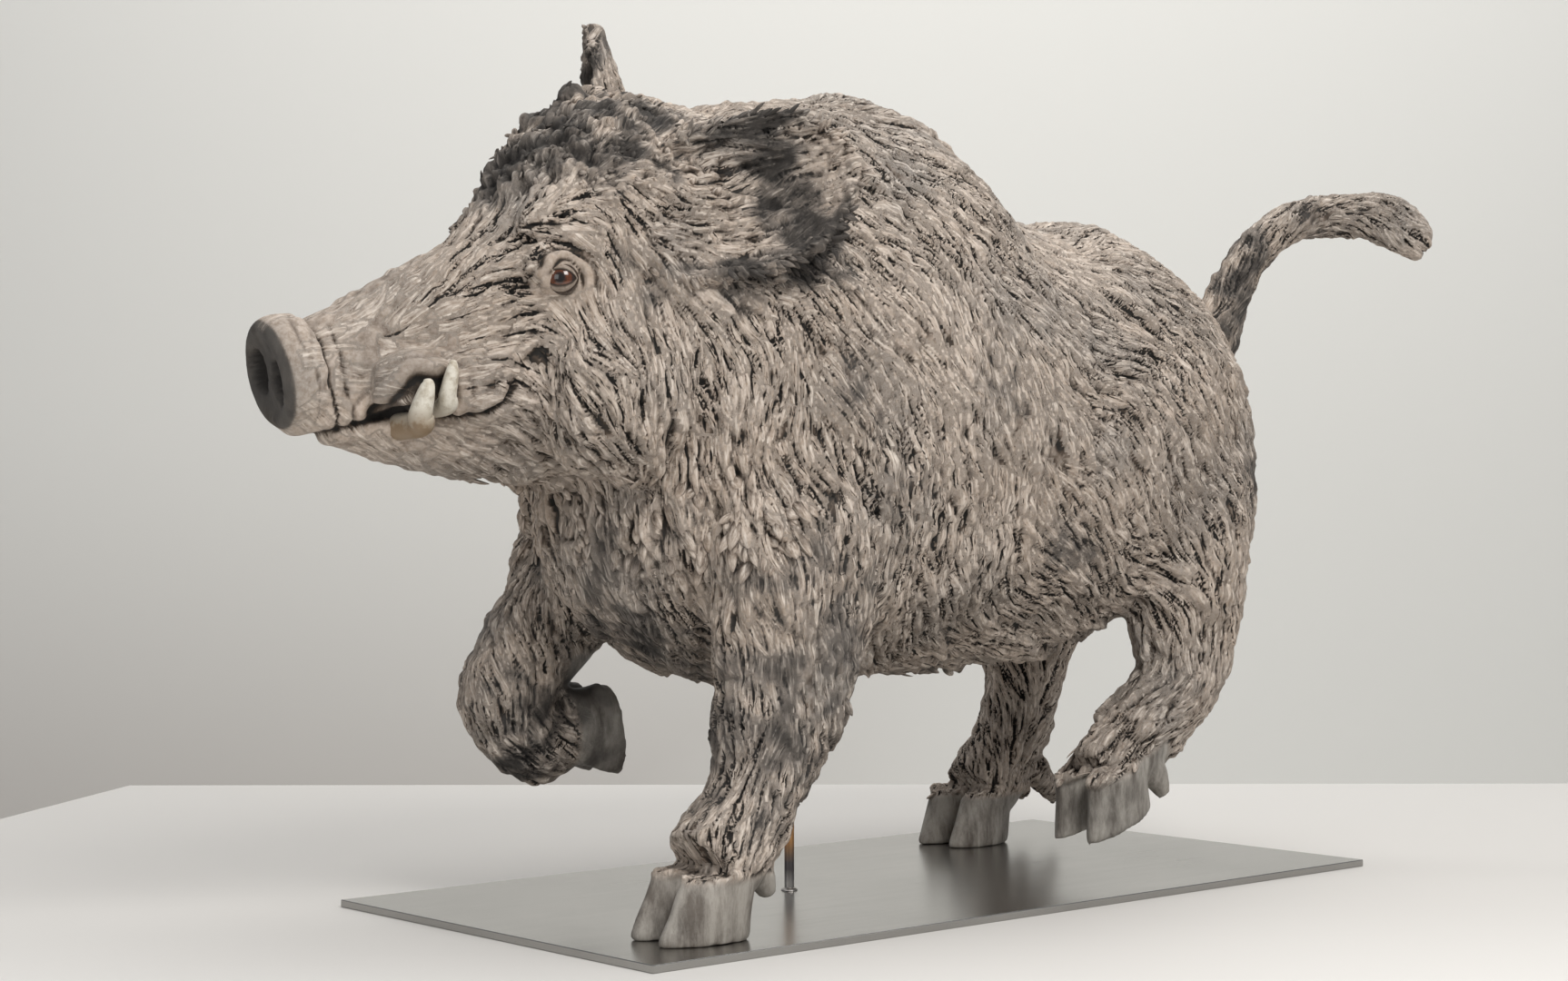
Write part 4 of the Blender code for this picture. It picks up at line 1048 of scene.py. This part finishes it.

# x, y, z, reach and strength of each cloud of soot; the head's are given facing ahead.
# The two body clouds under the jowl, at x -44 and -40, are painted shadow of the jowl.
HEAD_SOOT = [
    (-36, -17, 90, 5, 1.0), (-28, -21, 90, 5, 0.8), (-32, -21, 82, 6, 0.6), (-37, -21, 74, 5, 1.0),
    (-31, -24, 77, 4, 0.9), (-50, 0, 91, 7, 1.0), (-54, 1, 86, 7, 1.0), (-47, -7, 87, 7, 0.9),
    (-42, -8, 91, 6, 0.6), (-37, 14, 98, 8, 0.8), (-46, -15, 73, 4, 0.9),
    (-72.4, -6.6, 59.4, 2.6, 0.5), (-72.4, 6.6, 59.4, 2.6, 0.5),
    (-36, 17, 90, 5, 0.6), (-47, 8, 88, 7, 0.7),
]
BODY_SOOT_AND_SHADE = [
    (-35, -20, 22, 14, 0.75), (-44, -20, 9, 6, 0.4), (-32, -22, 37, 10, 0.6),
    (-24, -22, 32, 8, 0.45), (-26, -26, 60, 5, 0.5), (-20, -26, 48, 6, 0.4),
    (-42, 17, 22, 12, 0.85), (-40, 17, 36, 10, 0.45), (-36, 0, 35, 13, 0.75), (-42, -4, 42, 9, 0.5),
    (37, -18, 24, 9, 0.35), (10, -25, 42, 6, 0.6), (50, -20, 50, 7, 0.6),
    (10, 25, 42, 8, 0.5), (52, 16, 52, 10, 0.5), (0, 0, 24, 18, 0.5), (20, 0, 26, 14, 0.5),
    (-44, -10, 45, 6, 0.4), (-40, -16, 43, 6, 0.35), (66, 0, 71, 8, 0.8), (71, -0.7, 79, 9, 1.0),
    (85, -4, 89, 8, 0.35), (-3, -26, 62, 5, 0.45), (26, -24, 60, 6, 0.35),
]


def clouds(points, rows):
    out = np.zeros(len(points))
    for x, y, z, reach, strength in rows:
        gap = np.linalg.norm(points - [x, y, z], axis=1) / reach
        out = np.maximum(out, strength * np.exp(-(gap**2)))
    return out


soot_and_shade = np.maximum(clouds(head_points, HEAD_SOOT), clouds(skin_points, BODY_SOOT_AND_SHADE))
# the near ear's rims are soot; the dark band along the middle of its cup is painted shade
ear_dark = np.maximum(ear_rim, smooth_step(0.35, 0.6, ear_along) * smooth_step(0.9, 0.7, ear_along))
ear_dark = ear_left * ear_dark * smooth_step(1.0, 0.86, ear_along)
soot_and_shade = np.maximum(soot_and_shade * (1 - 0.75 * ear_left), 0.95 * ear_dark)
disc_face = disc_mask * smooth_step(1.0, 0.2, snout_depth)
wash_and_shade = np.maximum(wash_and_shade, 0.8 * disc_face)
soot_and_shade = np.maximum(soot_and_shade, 0.35 * disc_face)
soot_and_shade = soot_and_shade * (1 + 0.45 * waves(skin_points, 9, 31) + 0.3 * waves(skin_points, 3.5, 32))
soot_and_shade += 0.15 * forehead + 0.5 * forehead * smooth_step(0.0, 0.8, waves(skin_points, 6, 35))
# painted shade: the nostrils darken further
soot_and_shade = np.clip(np.maximum(soot_and_shade, 1.2 * smooth_step(0.1, 0.4, nostrils)), 0, 1)
warmth = np.clip(0.5 + 0.3 * waves(skin_points, 26, 33) + 0.2 * waves(skin_points, 9, 34), 0, 1)
smoothness = np.clip(np.maximum(hoof, 0.35 * disc_mask * (1 - nostrils)), 0, 1)
fine_lines = hairy * (1 - 0.75 * snout) * (0.75 + 0.35 * waves(skin_points, 18, 36))
print("mean wash", round(float(wash_and_shade.mean()), 2), "mean soot", round(float(soot_and_shade.mean()), 2))

# %% [markdown]
# ## Six pieces of one skin
# The finished skin is cut into face, neck, shoulders, ribs, loins and rump, so that each
# piece stays light. Normals are taken from the whole skin before the cut, so no seam shows, and
# each cut is closed with a face that lies a little under the skin.

# %% Cut the skin into pieces
CUTS = {
    "skin_face": (-100, -51),
    "skin_neck": (-51, -34),
    "skin_shoulders": (-34, -15),
    "skin_ribs": (-15, 10),
    "skin_loins": (10, 37.6),
    "skin_rump": (37.6, 120),
}
FIELDS = {"wash_and_shade": wash_and_shade, "soot_and_shade": soot_and_shade, "warmth": warmth, "smoothness": smoothness, "fine_lines": fine_lines}
FIELDS |= {"hair_place": hair_place, "crack_place": crack_place}
LIFT = np.array([0.0, 0.0, SOLE_Z])
CAP_DEPTH = 0.002  # how far under the skin each cut is closed, in metres

metre_points = raised * UNIT + LIFT
whole.vertices.foreach_set("co", metre_points.astype(np.float32).ravel())
whole.update()
whole_normals = read(whole.vertex_normals, "vector", 3)
face_sizes = read(whole.polygons, "loop_total", 1, np.int32)
face_starts = np.concatenate([[0], np.cumsum(face_sizes)[:-1]])
loop_points = read(whole.loops, "vertex_index", 1, np.int32)
face_x = np.add.reduceat(skin_points[loop_points, 0], face_starts) / face_sizes


def add_field(mesh, name, values):
    """Stores one number or one vector for each point, for the materials to read."""
    kind, prop = ("FLOAT", "value") if values.ndim == 1 else ("FLOAT_VECTOR", "vector")
    mesh.attributes.new(name, kind, "POINT").data.foreach_set(prop, values.astype(np.float32).ravel())


def belongs(made, node):
    """Ties a piece to the sculpture, in place of one solid."""
    bpy.context.scene.collection.objects.link(made)
    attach(made, "root")
    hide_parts(node)
    return made


def piece_of_skin(name, low, high):
    """The faces whose middle lies between two stations, closed and with the whole skin's normals."""
    chosen = (face_x >= low) & (face_x < high)
    corners = loop_points[np.repeat(chosen, face_sizes)]
    kept, local = np.unique(corners, return_inverse=True)
    sizes = face_sizes[chosen]
    ends = np.cumsum(sizes)
    following = np.arange(len(local)) + 1
    following[ends - 1] = ends - sizes
    tail, tip = local, local[following]
    single = ~np.isin(tail * len(kept) + tip, tip * len(kept) + tail)
    tail, tip = tail[single], tip[single]
    border, sunk = np.unique(np.concatenate([tail, tip]), return_inverse=True)
    sunk = sunk + len(kept)
    strip = np.stack([tip, tail, sunk[: len(tail)], sunk[len(tail) :]], 1)
    local = np.concatenate([local, strip.ravel()])
    sizes = np.concatenate([sizes, np.full(len(strip), 4)])
    sunk_points = metre_points[kept[border]] - CAP_DEPTH * whole_normals[kept[border]]
    points = np.concatenate([metre_points[kept], sunk_points])
    kept = np.concatenate([kept, kept[border]])
    mesh = bpy.data.meshes.new(name)
    mesh.vertices.add(len(kept))
    mesh.vertices.foreach_set("co", points.astype(np.float32).ravel())
    mesh.loops.add(len(local))
    mesh.loops.foreach_set("vertex_index", local.astype(np.int32))
    mesh.polygons.add(len(sizes))
    mesh.polygons.foreach_set("loop_start", np.concatenate([[0], np.cumsum(sizes)[:-1]]).astype(np.int32))
    mesh.update(calc_edges=True)
    rim = bmesh.new()
    rim.from_mesh(mesh)
    bmesh.ops.holes_fill(rim, edges=[edge for edge in rim.edges if edge.is_boundary], sides=0)
    rim.to_mesh(mesh)
    rim.free()
    mesh.polygons.foreach_set("use_smooth", np.ones(len(mesh.polygons), bool))
    mesh.normals_split_custom_set_from_vertices(whole_normals[kept].tolist())
    for field_name, values in FIELDS.items():
        add_field(mesh, field_name, values[kept])
    mesh.calc_loop_triangles()
    print(name, len(mesh.loop_triangles), "triangles")
    return belongs(bpy.data.objects.new(name, mesh), "boar")


skin_pieces = [piece_of_skin(name, low, high) for name, (low, high) in CUTS.items()]

# %% [markdown]
# ## Flakes of clay
# At the near ear's rim, on the forehead, along the jowl and under the belly the locks stand off
# as flakes. Each is a small closed leaf: rings whose width is sin(pi u)^0.7 along it, with
# the root in the skin and the tip lifted, then bent back a little.

# %% Flakes
LEAF_RINGS = 6
RING_POINTS = 6
LEAF_POINTS = LEAF_RINGS * RING_POINTS


def leaves(seeds, ways, lift, length, width, thick, bend):
    """One mesh of many leaves; each leaf is rings of six points from the root to the tip."""
    u = np.linspace(0.0, 1.0, LEAF_RINGS)[None, :, None, None]
    angle = np.linspace(0, 2 * math.pi, RING_POINTS, endpoint=False)[None, None, :, None]
    size = np.maximum(np.sin(math.pi * (0.16 + 0.82 * u)), 0.0) ** 0.7 + 0.02
    up = skin_normals[seeds][:, None, None]
    way = ways[:, None, None]
    side = np.cross(skin_normals[seeds], ways)[:, None, None]
    length, width, thick, lift, bend = (v[:, None, None, None] for v in (length, width, thick, lift, bend))
    spine = way * length * u * np.cos(lift) + up * length * (u * np.sin(lift) - bend * u**2)
    ring = side * width * size * np.cos(angle) + up * thick * size * np.sin(angle)
    points = raised[seeds][:, None, None] - 0.35 * up + spine + ring
    one = np.arange(LEAF_POINTS).reshape(LEAF_RINGS, RING_POINTS)
    across = np.roll(one, -1, 1)
    quads = np.stack([one[:-1], across[:-1], across[1:], one[1:]], -1).reshape(-1, 4)
    caps = np.array([[0, 5, 4, 3], [0, 3, 2, 1], [30, 31, 32, 33], [30, 33, 34, 35]])
    faces = np.concatenate([quads, caps])[None] + LEAF_POINTS * np.arange(len(seeds))[:, None, None]
    return points.reshape(-1, 3), faces.reshape(-1, 4)


def flake_seeds(weight, count, rng):
    share = np.maximum(weight, 0)
    return rng.choice(len(skin_points), int(count * DENSITY), p=share / share.sum())


rng = np.random.default_rng(40)
jowl_line = jowl * smooth_step(54, 50, hz)
groups = [
    # weight, how many, length, width, lift
    (ear_rim * ear_left * hairy, 400, 1.9, 0.50, 0.20),
    (forehead * hairy, 380, 1.2, 0.45, 0.70),
    (jowl_line * hairy, 240, 2.6, 0.80, 0.40),
    (belly * smooth_step(30, 27, pz) * hairy, 160, 2.4, 0.60, 0.45),
]
flake_points, flake_faces, flake_homes = [], [], []
for weight, count, length, width, lift in groups:
    seeds = flake_seeds(weight, count, rng)
    n = len(seeds)
    turn = rng.normal(0, 0.35 + 0.8 * forehead[seeds, None])
    ways = flow[seeds] * np.cos(turn) + across_flow[seeds] * np.sin(turn)
    outward = ear_frame("left")[3] * np.sign(ear_across[seeds])[:, None] * ear_left[seeds][:, None]
    ways = unit(ways + 0.45 * outward)
    lifted, long, wide = rng.uniform(0.6, 1.3, (n, 3)).T
    points, faces = leaves(
        seeds, ways, lift * lifted, length * long, width * wide * 0.8, 0.22 * wide, 0.18 * lifted
    )
    flake_faces.append(faces + sum(map(len, flake_points)))
    flake_points.append(points)
    flake_homes.append(np.repeat(seeds, LEAF_POINTS))
homes = np.concatenate(flake_homes)
flake_points = np.concatenate(flake_points)
flake_points[:, 2] = np.maximum(flake_points[:, 2], 0.2)
mesh = bpy.data.meshes.new("clay_flakes")
mesh.from_pydata((flake_points * UNIT + LIFT).tolist(), [], np.concatenate(flake_faces).tolist())
mesh.polygons.foreach_set("use_smooth", np.ones(len(mesh.polygons), bool))
leaf_count = len(homes) // LEAF_POINTS
along = np.tile(np.repeat(np.linspace(0, 1, LEAF_RINGS), RING_POINTS), leaf_count)
# painted shade: each flake is darker at its root, where it meets the skin
add_field(mesh, "wash_and_shade", np.clip(0.75 - 0.5 * along, 0, 1))
add_field(mesh, "soot_and_shade", soot_and_shade[homes])
add_field(mesh, "warmth", warmth[homes])
around = np.tile(np.arange(LEAF_POINTS) % RING_POINTS, leaf_count)
add_field(mesh, "hair_place", np.stack([3 * along, 0.3 * around, 0.37 * homes], 1))
flakes = belongs(bpy.data.objects.new("clay_flakes", mesh), "boar")
print("clay_flakes", leaf_count, "leaves,", 2 * len(mesh.polygons), "triangles")

# %% [markdown]
# ## Tusks and eyes
# The tusks were made apart, glazed pale and set into the lips. The eyes are glass balls
# behind lids of clay. A lid is a thin shell on a ball round the eye, open in an almond:
# the opening's half height falls as 1 - a^2 from the middle to both corners.

# %% Tusks and eyes
def mesh_object(name, points, faces, node="boar"):
    mesh = bpy.data.meshes.new(name)
    mesh.from_pydata(points.tolist(), [], faces)
    mesh.polygons.foreach_set("use_smooth", np.ones(len(mesh.polygons), bool))
    return belongs(bpy.data.objects.new(name, mesh), node)


TUSK_ROOT_SHIFT = [(0.8, 2.6, 1.6, 0.0), (0.8, 0.0, 0.8, 0.0)]  # x, y, z and radius


def tusk(name, rows, side):
    """A round tube that narrows to a rounded tip; its root is moved deeper into the lip."""
    shift = np.zeros((len(rows), 4))
    shift[:2] = TUSK_ROOT_SHIFT
    sunk = np.array(rows) + shift
    stations = np.hstack([sunk * [1, -side, 1, 1], sunk[:, 3:]])
    points, faces = tube(stations, around=28, steps=10, turn=turned_head)
    return mesh_object(name, points * UNIT + LIFT, faces)


SIDES = {"left": -1, "right": 1}
TUSKS = {"lower": LOWER_TUSK, "upper": UPPER_TUSK}
tusks = [
    tusk(f"{label}_{kind}_tusk", rows, side)
    for label, side in SIDES.items()
    for kind, rows in TUSKS.items()
]


def eye_axes(side):
    """The way the eye looks, ahead and outwards, with its own up and across."""
    gaze = unit(np.array([-0.62, 0.78 * side, 0.02]))
    gaze = turned_head(gaze + np.array([*HEAD_PIVOT, 0])) - np.array([*HEAD_PIVOT, 0])
    up = unit(np.array([0.0, 0.0, 1.0]) - gaze * gaze[2])
    return gaze, up, np.cross(gaze, up)


def eye_middle(side):
    return turned_head(np.array(EYE_HOME) * [1, -side, 1]) * UNIT + LIFT


def glass_ball(name, side, node):
    """A ball of rings round the gaze, so that the iris is even."""
    gaze, up, across = eye_axes(side)
    slope = np.linspace(0.02, math.pi - 0.02, 40)[:, None, None]
    angle = np.linspace(0, 2 * math.pi, 48, endpoint=False)[None, :, None]
    ball = gaze * np.cos(slope) + (up * np.cos(angle) + across * np.sin(angle)) * np.sin(slope)
    points, faces = skin(ball)
    return mesh_object(name, points * EYE_RADIUS + eye_middle(side), faces, node)


eyes = [glass_ball("left_glass", -1, "left_eye"), glass_ball("right_glass", 1, "right_eye")]


def eyelids(name, side):
    """Rings from the almond opening outwards: the shell swells to a rim, then dives into the skin."""
    gaze, up, across = eye_axes(side)
    angle = np.linspace(0, 2 * math.pi, 72, endpoint=False)
    tall = np.where(np.sin(angle) > 0, 0.47, 0.44)
    almond = np.stack([0.88 * np.cos(angle), tall * np.sin(angle) * np.abs(np.sin(angle)) ** 0.3])
    start = np.arcsin(np.clip(np.hypot(*almond), 0, 0.93))
    turn = np.arctan2(almond[1], almond[0])
    share = np.array([0.0, 0.0, 0.08, 0.2, 0.4, 0.6, 0.8, 1.0])[:, None]
    swell = np.array([1.005, 1.02, 1.045, 1.06, 1.04, 0.98, 0.90, 0.80])[:, None]
    lean = start + (math.radians(84) - start) * share
    round_gaze = across * np.cos(turn)[:, None] + up * np.sin(turn)[:, None]
    rows = gaze * np.cos(lean)[..., None] + round_gaze * np.sin(lean)[..., None]
    points, faces = skin(np.concatenate([rows * swell[..., None], rows[::-1] * 0.95]))
    made = mesh_object(name, points * EYE_RADIUS + eye_middle(side), faces[:-2])
    # painted shade: the lid darkens at the opening's edge and all over its inner sheet
    dark = np.concatenate([smooth_step(0.18, 0.0, share) + 0 * angle, np.ones((8, 72))]).ravel()
    add_field(made.data, "wash_and_shade", 0.56 + 0.42 * dark)
    add_field(made.data, "warmth", np.full(len(dark), 0.5))
    return made


lids = [eyelids("left_lids", -1), eyelids("right_lids", 1)]
print("tusks and lids:", [piece.name for piece in tusks + lids])

# %% [markdown]
# ## Materials
# All clay shares one recipe. Pale slip is the ground colour, warmed and cooled in clouds.
# The wash, partly oxide and partly painted shade, darkens hollows; soot, with painted shade
# under the jowl and in the near ear, darkens whole regions, and fine grain roughens what is
# left. Object coordinates tie the grain to the figure.

# %% Node helpers
def node(tree, kind, inputs=None, **settings):
    """Adds a node; an input is a value or another node's output."""
    made = tree.nodes.new("ShaderNode" + kind)
    for name, value in settings.items():
        setattr(made, name, value)
    for name, value in (inputs or {}).items():
        if isinstance(value, bpy.types.NodeSocket):
            tree.links.new(value, made.inputs[name])
        else:
            made.inputs[name].default_value = value
    return made


def mix(tree, share, a, b, blend="MIX"):
    made = node(tree, "Mix", {0: share, 6: a, 7: b}, data_type="RGBA", blend_type=blend)
    return made.outputs[2]


def sums(tree, operation, a, b=0.0, clamp=False):
    return node(tree, "Math", {0: a, 1: b}, operation=operation, use_clamp=clamp).outputs[0]


def added(tree, base, other, share):
    """The base plus a share of the other."""
    return sums(tree, "ADD", base, sums(tree, "MULTIPLY", other, share))


def noise(tree, coordinates, scale, detail=4.0, roughness=0.6):
    inputs = {"Vector": coordinates, "Scale": scale, "Detail": detail, "Roughness": roughness}
    return node(tree, "TexNoise", inputs).outputs["Fac"]


def between(tree, value, low, high):
    """0 below low, 1 above high."""
    inputs = {"Value": value, "From Min": low, "From Max": high}
    return node(tree, "MapRange", inputs, clamp=True).outputs["Result"]


def field(tree, name):
    return node(tree, "Attribute", attribute_name=name, attribute_type="GEOMETRY").outputs["Fac"]


def new_material(name):
    made = bpy.data.materials.new(name)
    made.use_nodes = True
    tree = made.node_tree
    coordinates = node(tree, "TexCoord").outputs["Object"]
    return made, tree, tree.nodes["Principled BSDF"], coordinates


def bump(tree, shader, height, strength, distance):
    inputs = {"Height": height, "Strength": strength, "Distance": distance}
    tree.links.new(node(tree, "Bump", inputs).outputs["Normal"], shader.inputs["Normal"])


# %% Clay
PALE = (0.64, 0.55, 0.478, 1)
WARM = (0.47, 0.375, 0.30, 1)
GREY = (0.36, 0.325, 0.295, 1)
HORN_PALE = (0.36, 0.34, 0.305, 1)
HORN_DARK = (0.075, 0.066, 0.056, 1)
WASH_AND_SHADE_BROWN = (0.075, 0.052, 0.036, 1)
WASH_AND_SHADE_BLACK = (0.012, 0.010, 0.008, 1)
SOOT_AND_SHADE_BLACK = (0.028, 0.025, 0.023, 1)
SOOT_AND_SHADE_BLUE = (0.095, 0.087, 0.08, 1)


def crack_opening(tree, jitter):
    """1 inside a crack: 1 - (2u - 1)^2 - |v|, roughened a little, times the crack's depth."""
    place = node(tree, "Attribute", attribute_name="crack_place").outputs["Vector"]
    u, v, depth = node(tree, "SeparateXYZ", {"Vector": place}).outputs
    along = sums(tree, "POWER", sums(tree, "SUBTRACT", sums(tree, "MULTIPLY", u, 2.0), 1.0), 2.0)
    open_share = sums(tree, "SUBTRACT", 1.0, sums(tree, "ADD", along, sums(tree, "ABSOLUTE", v)))
    rough = sums(tree, "ADD", open_share, sums(tree, "MULTIPLY", sums(tree, "SUBTRACT", jitter, 0.5), 0.9))
    return sums(tree, "MULTIPLY", between(tree, rough, 0.1, 0.6), between(tree, depth, 0.05, 0.8))


def clay_material():
    made, tree, shader, where = new_material("fired_clay_skin")
    ground = mix(tree, between(tree, noise(tree, where, 9.0, 5.0), 0.42, 0.62), PALE, GREY)
    ground = mix(tree, sums(tree, "MULTIPLY", field(tree, "warmth"), 0.6), ground, WARM)
    fine = noise(tree, where, 260.0, 6.0, 0.7)
    ground = mix(tree, between(tree, fine, 0.35, 0.75), ground, (0.62, 0.56, 0.49, 1), "MULTIPLY")
    on_lock = node(tree, "Attribute", attribute_name="hair_place").outputs["Vector"]
    on_lock = node(tree, "Mapping", {"Vector": on_lock, "Scale": (0.42, 3.4, 1.0)}).outputs["Vector"]
    strand = noise(tree, on_lock, 1.0, 4.0, 0.7)
    ground = mix(tree, between(tree, strand, 0.50, 0.72), ground, (0.80, 0.72, 0.635, 1))
    # oxide wash and painted shade together, deepened along the cracks and the fine lines
    wash_and_shade_level = added(tree, field(tree, "wash_and_shade"), sums(tree, "SUBTRACT", fine, 0.5), 0.3)
    wash_and_shade_level = added(tree, wash_and_shade_level, sums(tree, "SUBTRACT", 0.5, strand), 1.0)
    crack = crack_opening(tree, fine)
    line = sums(tree, "MULTIPLY", between(tree, strand, 0.445, 0.37), field(tree, "fine_lines"))
    wash_and_shade_level = added(tree, wash_and_shade_level, line, 0.62)
    wash_and_shade_level = added(tree, wash_and_shade_level, crack, 0.75)
    colour = mix(tree, between(tree, wash_and_shade_level, 0.42, 0.80), ground, WASH_AND_SHADE_BROWN)
    colour = mix(tree, between(tree, wash_and_shade_level, 0.76, 1.0), colour, WASH_AND_SHADE_BLACK)
    horn = sums(tree, "MULTIPLY", field(tree, "smoothness"), 0.85)
    upright = node(tree, "Mapping", {"Vector": where, "Scale": (60.0, 60.0, 14.0)}).outputs["Vector"]
    horn_mark = noise(tree, upright, 1.0, 6.0, 0.7)
    colour = mix(tree, horn, colour, mix(tree, between(tree, horn_mark, 0.40, 0.62), HORN_PALE, HORN_DARK))
    cloud = noise(tree, where, 45.0, 5.0)
    # soot, with the painted shadow under the jowl and the painted shade inside the near ear and nostrils
    smoke_and_shade = added(tree, field(tree, "soot_and_shade"), sums(tree, "SUBTRACT", cloud, 0.5), 0.5)
    smoke_and_shade = added(tree, smoke_and_shade, sums(tree, "SUBTRACT", 0.5, strand), 0.9)
    smoke_and_shade = added(tree, smoke_and_shade, sums(tree, "SUBTRACT", field(tree, "wash_and_shade"), 0.45), 0.35)
    smoke_and_shade = sums(tree, "MULTIPLY", smoke_and_shade, between(tree, field(tree, "soot_and_shade"), 0.03, 0.25))
    colour = mix(tree, sums(tree, "MULTIPLY", between(tree, smoke_and_shade, 0.15, 0.6), 0.6), colour, SOOT_AND_SHADE_BLUE)
    colour = mix(tree, sums(tree, "MULTIPLY", between(tree, smoke_and_shade, 0.5, 0.95), 0.85), colour, SOOT_AND_SHADE_BLACK)
    tree.links.new(colour, shader.inputs["Base Color"])
    rough = node(tree, "MapRange", {"Value": field(tree, "smoothness"), "To Min": 0.86, "To Max": 0.58})
    tree.links.new(rough.outputs["Result"], shader.inputs["Roughness"])
    hair_only = sums(tree, "SUBTRACT", 1.0, field(tree, "smoothness"))
    grain = added(tree, sums(tree, "MULTIPLY", fine, 0.5), sums(tree, "MULTIPLY", strand, hair_only), 1.5)
    grain = sums(tree, "SUBTRACT", grain, sums(tree, "MULTIPLY", crack, 1.4))
    grain = sums(tree, "SUBTRACT", grain, sums(tree, "MULTIPLY", line, 0.9))
    bump(tree, shader, grain, 0.7, 0.0012)
    return made


clay = clay_material()
for piece in skin_pieces + lids + [flakes]:
    piece.data.materials.append(clay)


# %% Ivory, glass and steel
def ivory_material():
    made, tree, shader, where = new_material("tusk_slip")
    stains = noise(tree, where, 160.0, 5.0, 0.65)
    colour = mix(tree, between(tree, stains, 0.42, 0.72), (0.72, 0.68, 0.59, 1), (0.40, 0.34, 0.25, 1))
    height = node(tree, "SeparateXYZ", {"Vector": where}).outputs["Z"]
    height = sums(tree, "ADD", height, sums(tree, "MULTIPLY", sums(tree, "SUBTRACT", stains, 0.5), 0.03))
    colour = mix(tree, between(tree, height, 0.388, 0.374), colour, (0.27, 0.19, 0.115, 1))
    tree.links.new(colour, shader.inputs["Base Color"])
    shader.inputs["Roughness"].default_value = 0.5
    bump(tree, shader, stains, 0.3, 0.001)
    return made


def glass_material(side):
    """Pupil, iris and white are rings about the gaze: the share is the dot of place and gaze."""
    made, tree, shader, where = new_material("eye_glass_left" if side < 0 else "eye_glass_right")
    gaze = eye_axes(side)[0]
    middle = eye_middle(side)
    out = node(tree, "VectorMath", {0: where, 1: tuple(middle)}, operation="SUBTRACT").outputs[0]
    out = node(tree, "VectorMath", {0: out}, operation="NORMALIZE").outputs[0]
    share = node(tree, "VectorMath", {0: out, 1: tuple(gaze)}, operation="DOT_PRODUCT").outputs["Value"]
    streaks = noise(tree, where, 900.0, 3.0, 0.6)
    iris = mix(tree, between(tree, streaks, 0.3, 0.7), (0.17, 0.045, 0.014, 1), (0.045, 0.016, 0.008, 1))
    colour = mix(tree, between(tree, share, 0.90, 0.97), iris, (0.010, 0.007, 0.006, 1))
    colour = mix(tree, between(tree, share, 0.80, 0.66), colour, (0.025, 0.014, 0.010, 1))
    tree.links.new(colour, shader.inputs["Base Color"])
    shader.inputs["Roughness"].default_value = 0.16
    shader.inputs["Coat Weight"].default_value = 0.5
    shader.inputs["Coat Roughness"].default_value = 0.03
    return made


def steel_material(name, tint, low, high, stretch):
    """Steel whose brush marks are noise stretched along one way."""
    made, tree, shader, where = new_material(name)
    scaled = node(tree, "Mapping", {"Vector": where, "Scale": stretch}).outputs["Vector"]
    brush = noise(tree, scaled, 1.0, 6.0, 0.7)
    broad = noise(tree, where, 5.0, 4.0, 0.6)
    colour = mix(tree, broad, tint, tuple(c * 0.72 for c in tint[:3]) + (1,))
    tree.links.new(colour, shader.inputs["Base Color"])
    shader.inputs["Metallic"].default_value = 1.0
    both = sums(tree, "ADD", sums(tree, "MULTIPLY", brush, 0.6), sums(tree, "MULTIPLY", broad, 0.4))
    rough = node(tree, "MapRange", {"Value": both, "To Min": low, "To Max": high}).outputs["Result"]
    tree.links.new(rough, shader.inputs["Roughness"])
    bump(tree, shader, brush, 0.12, 0.0004)
    return made


def rod_material():
    """Grey steel at the foot, a brown heat tint over the weld, dark scale above."""
    made, tree, shader, where = new_material("rod_steel_tinted")
    height = node(tree, "SeparateXYZ", {"Vector": where}).outputs["Z"]
    height = sums(tree, "ADD", height, sums(tree, "MULTIPLY", noise(tree, where, 60.0, 4.0), 0.012))
    colour = mix(tree, between(tree, height, 0.018, 0.030), (0.42, 0.40, 0.38, 1), (0.13, 0.12, 0.12, 1))
    colour = mix(tree, between(tree, height, 0.036, 0.052), colour, (0.50, 0.27, 0.12, 1))
    colour = mix(tree, between(tree, height, 0.075, 0.10), colour, (0.20, 0.12, 0.08, 1))
    tree.links.new(colour, shader.inputs["Base Color"])
    shader.inputs["Metallic"].default_value = 1.0
    shader.inputs["Roughness"].default_value = 0.36
    return made


ivory = ivory_material()
for piece in tusks:
    piece.data.materials.append(ivory)
for piece, side in zip(eyes, (-1, 1)):
    piece.data.materials.append(glass_material(side))
PLATE_STEEL = (0.46, 0.45, 0.43, 1)
BRUSH_STRETCH = (3.0, 160.0, 160.0)
steels = {
    "base_plate": steel_material("brushed_plate", PLATE_STEEL, 0.16, 0.34, BRUSH_STRETCH),
    "support_rod": rod_material(),
}
for name, steel in steels.items():
    bpy.data.objects[name].data.materials.clear()
    bpy.data.objects[name].data.materials.append(steel)
print("materials:", len(bpy.data.materials))
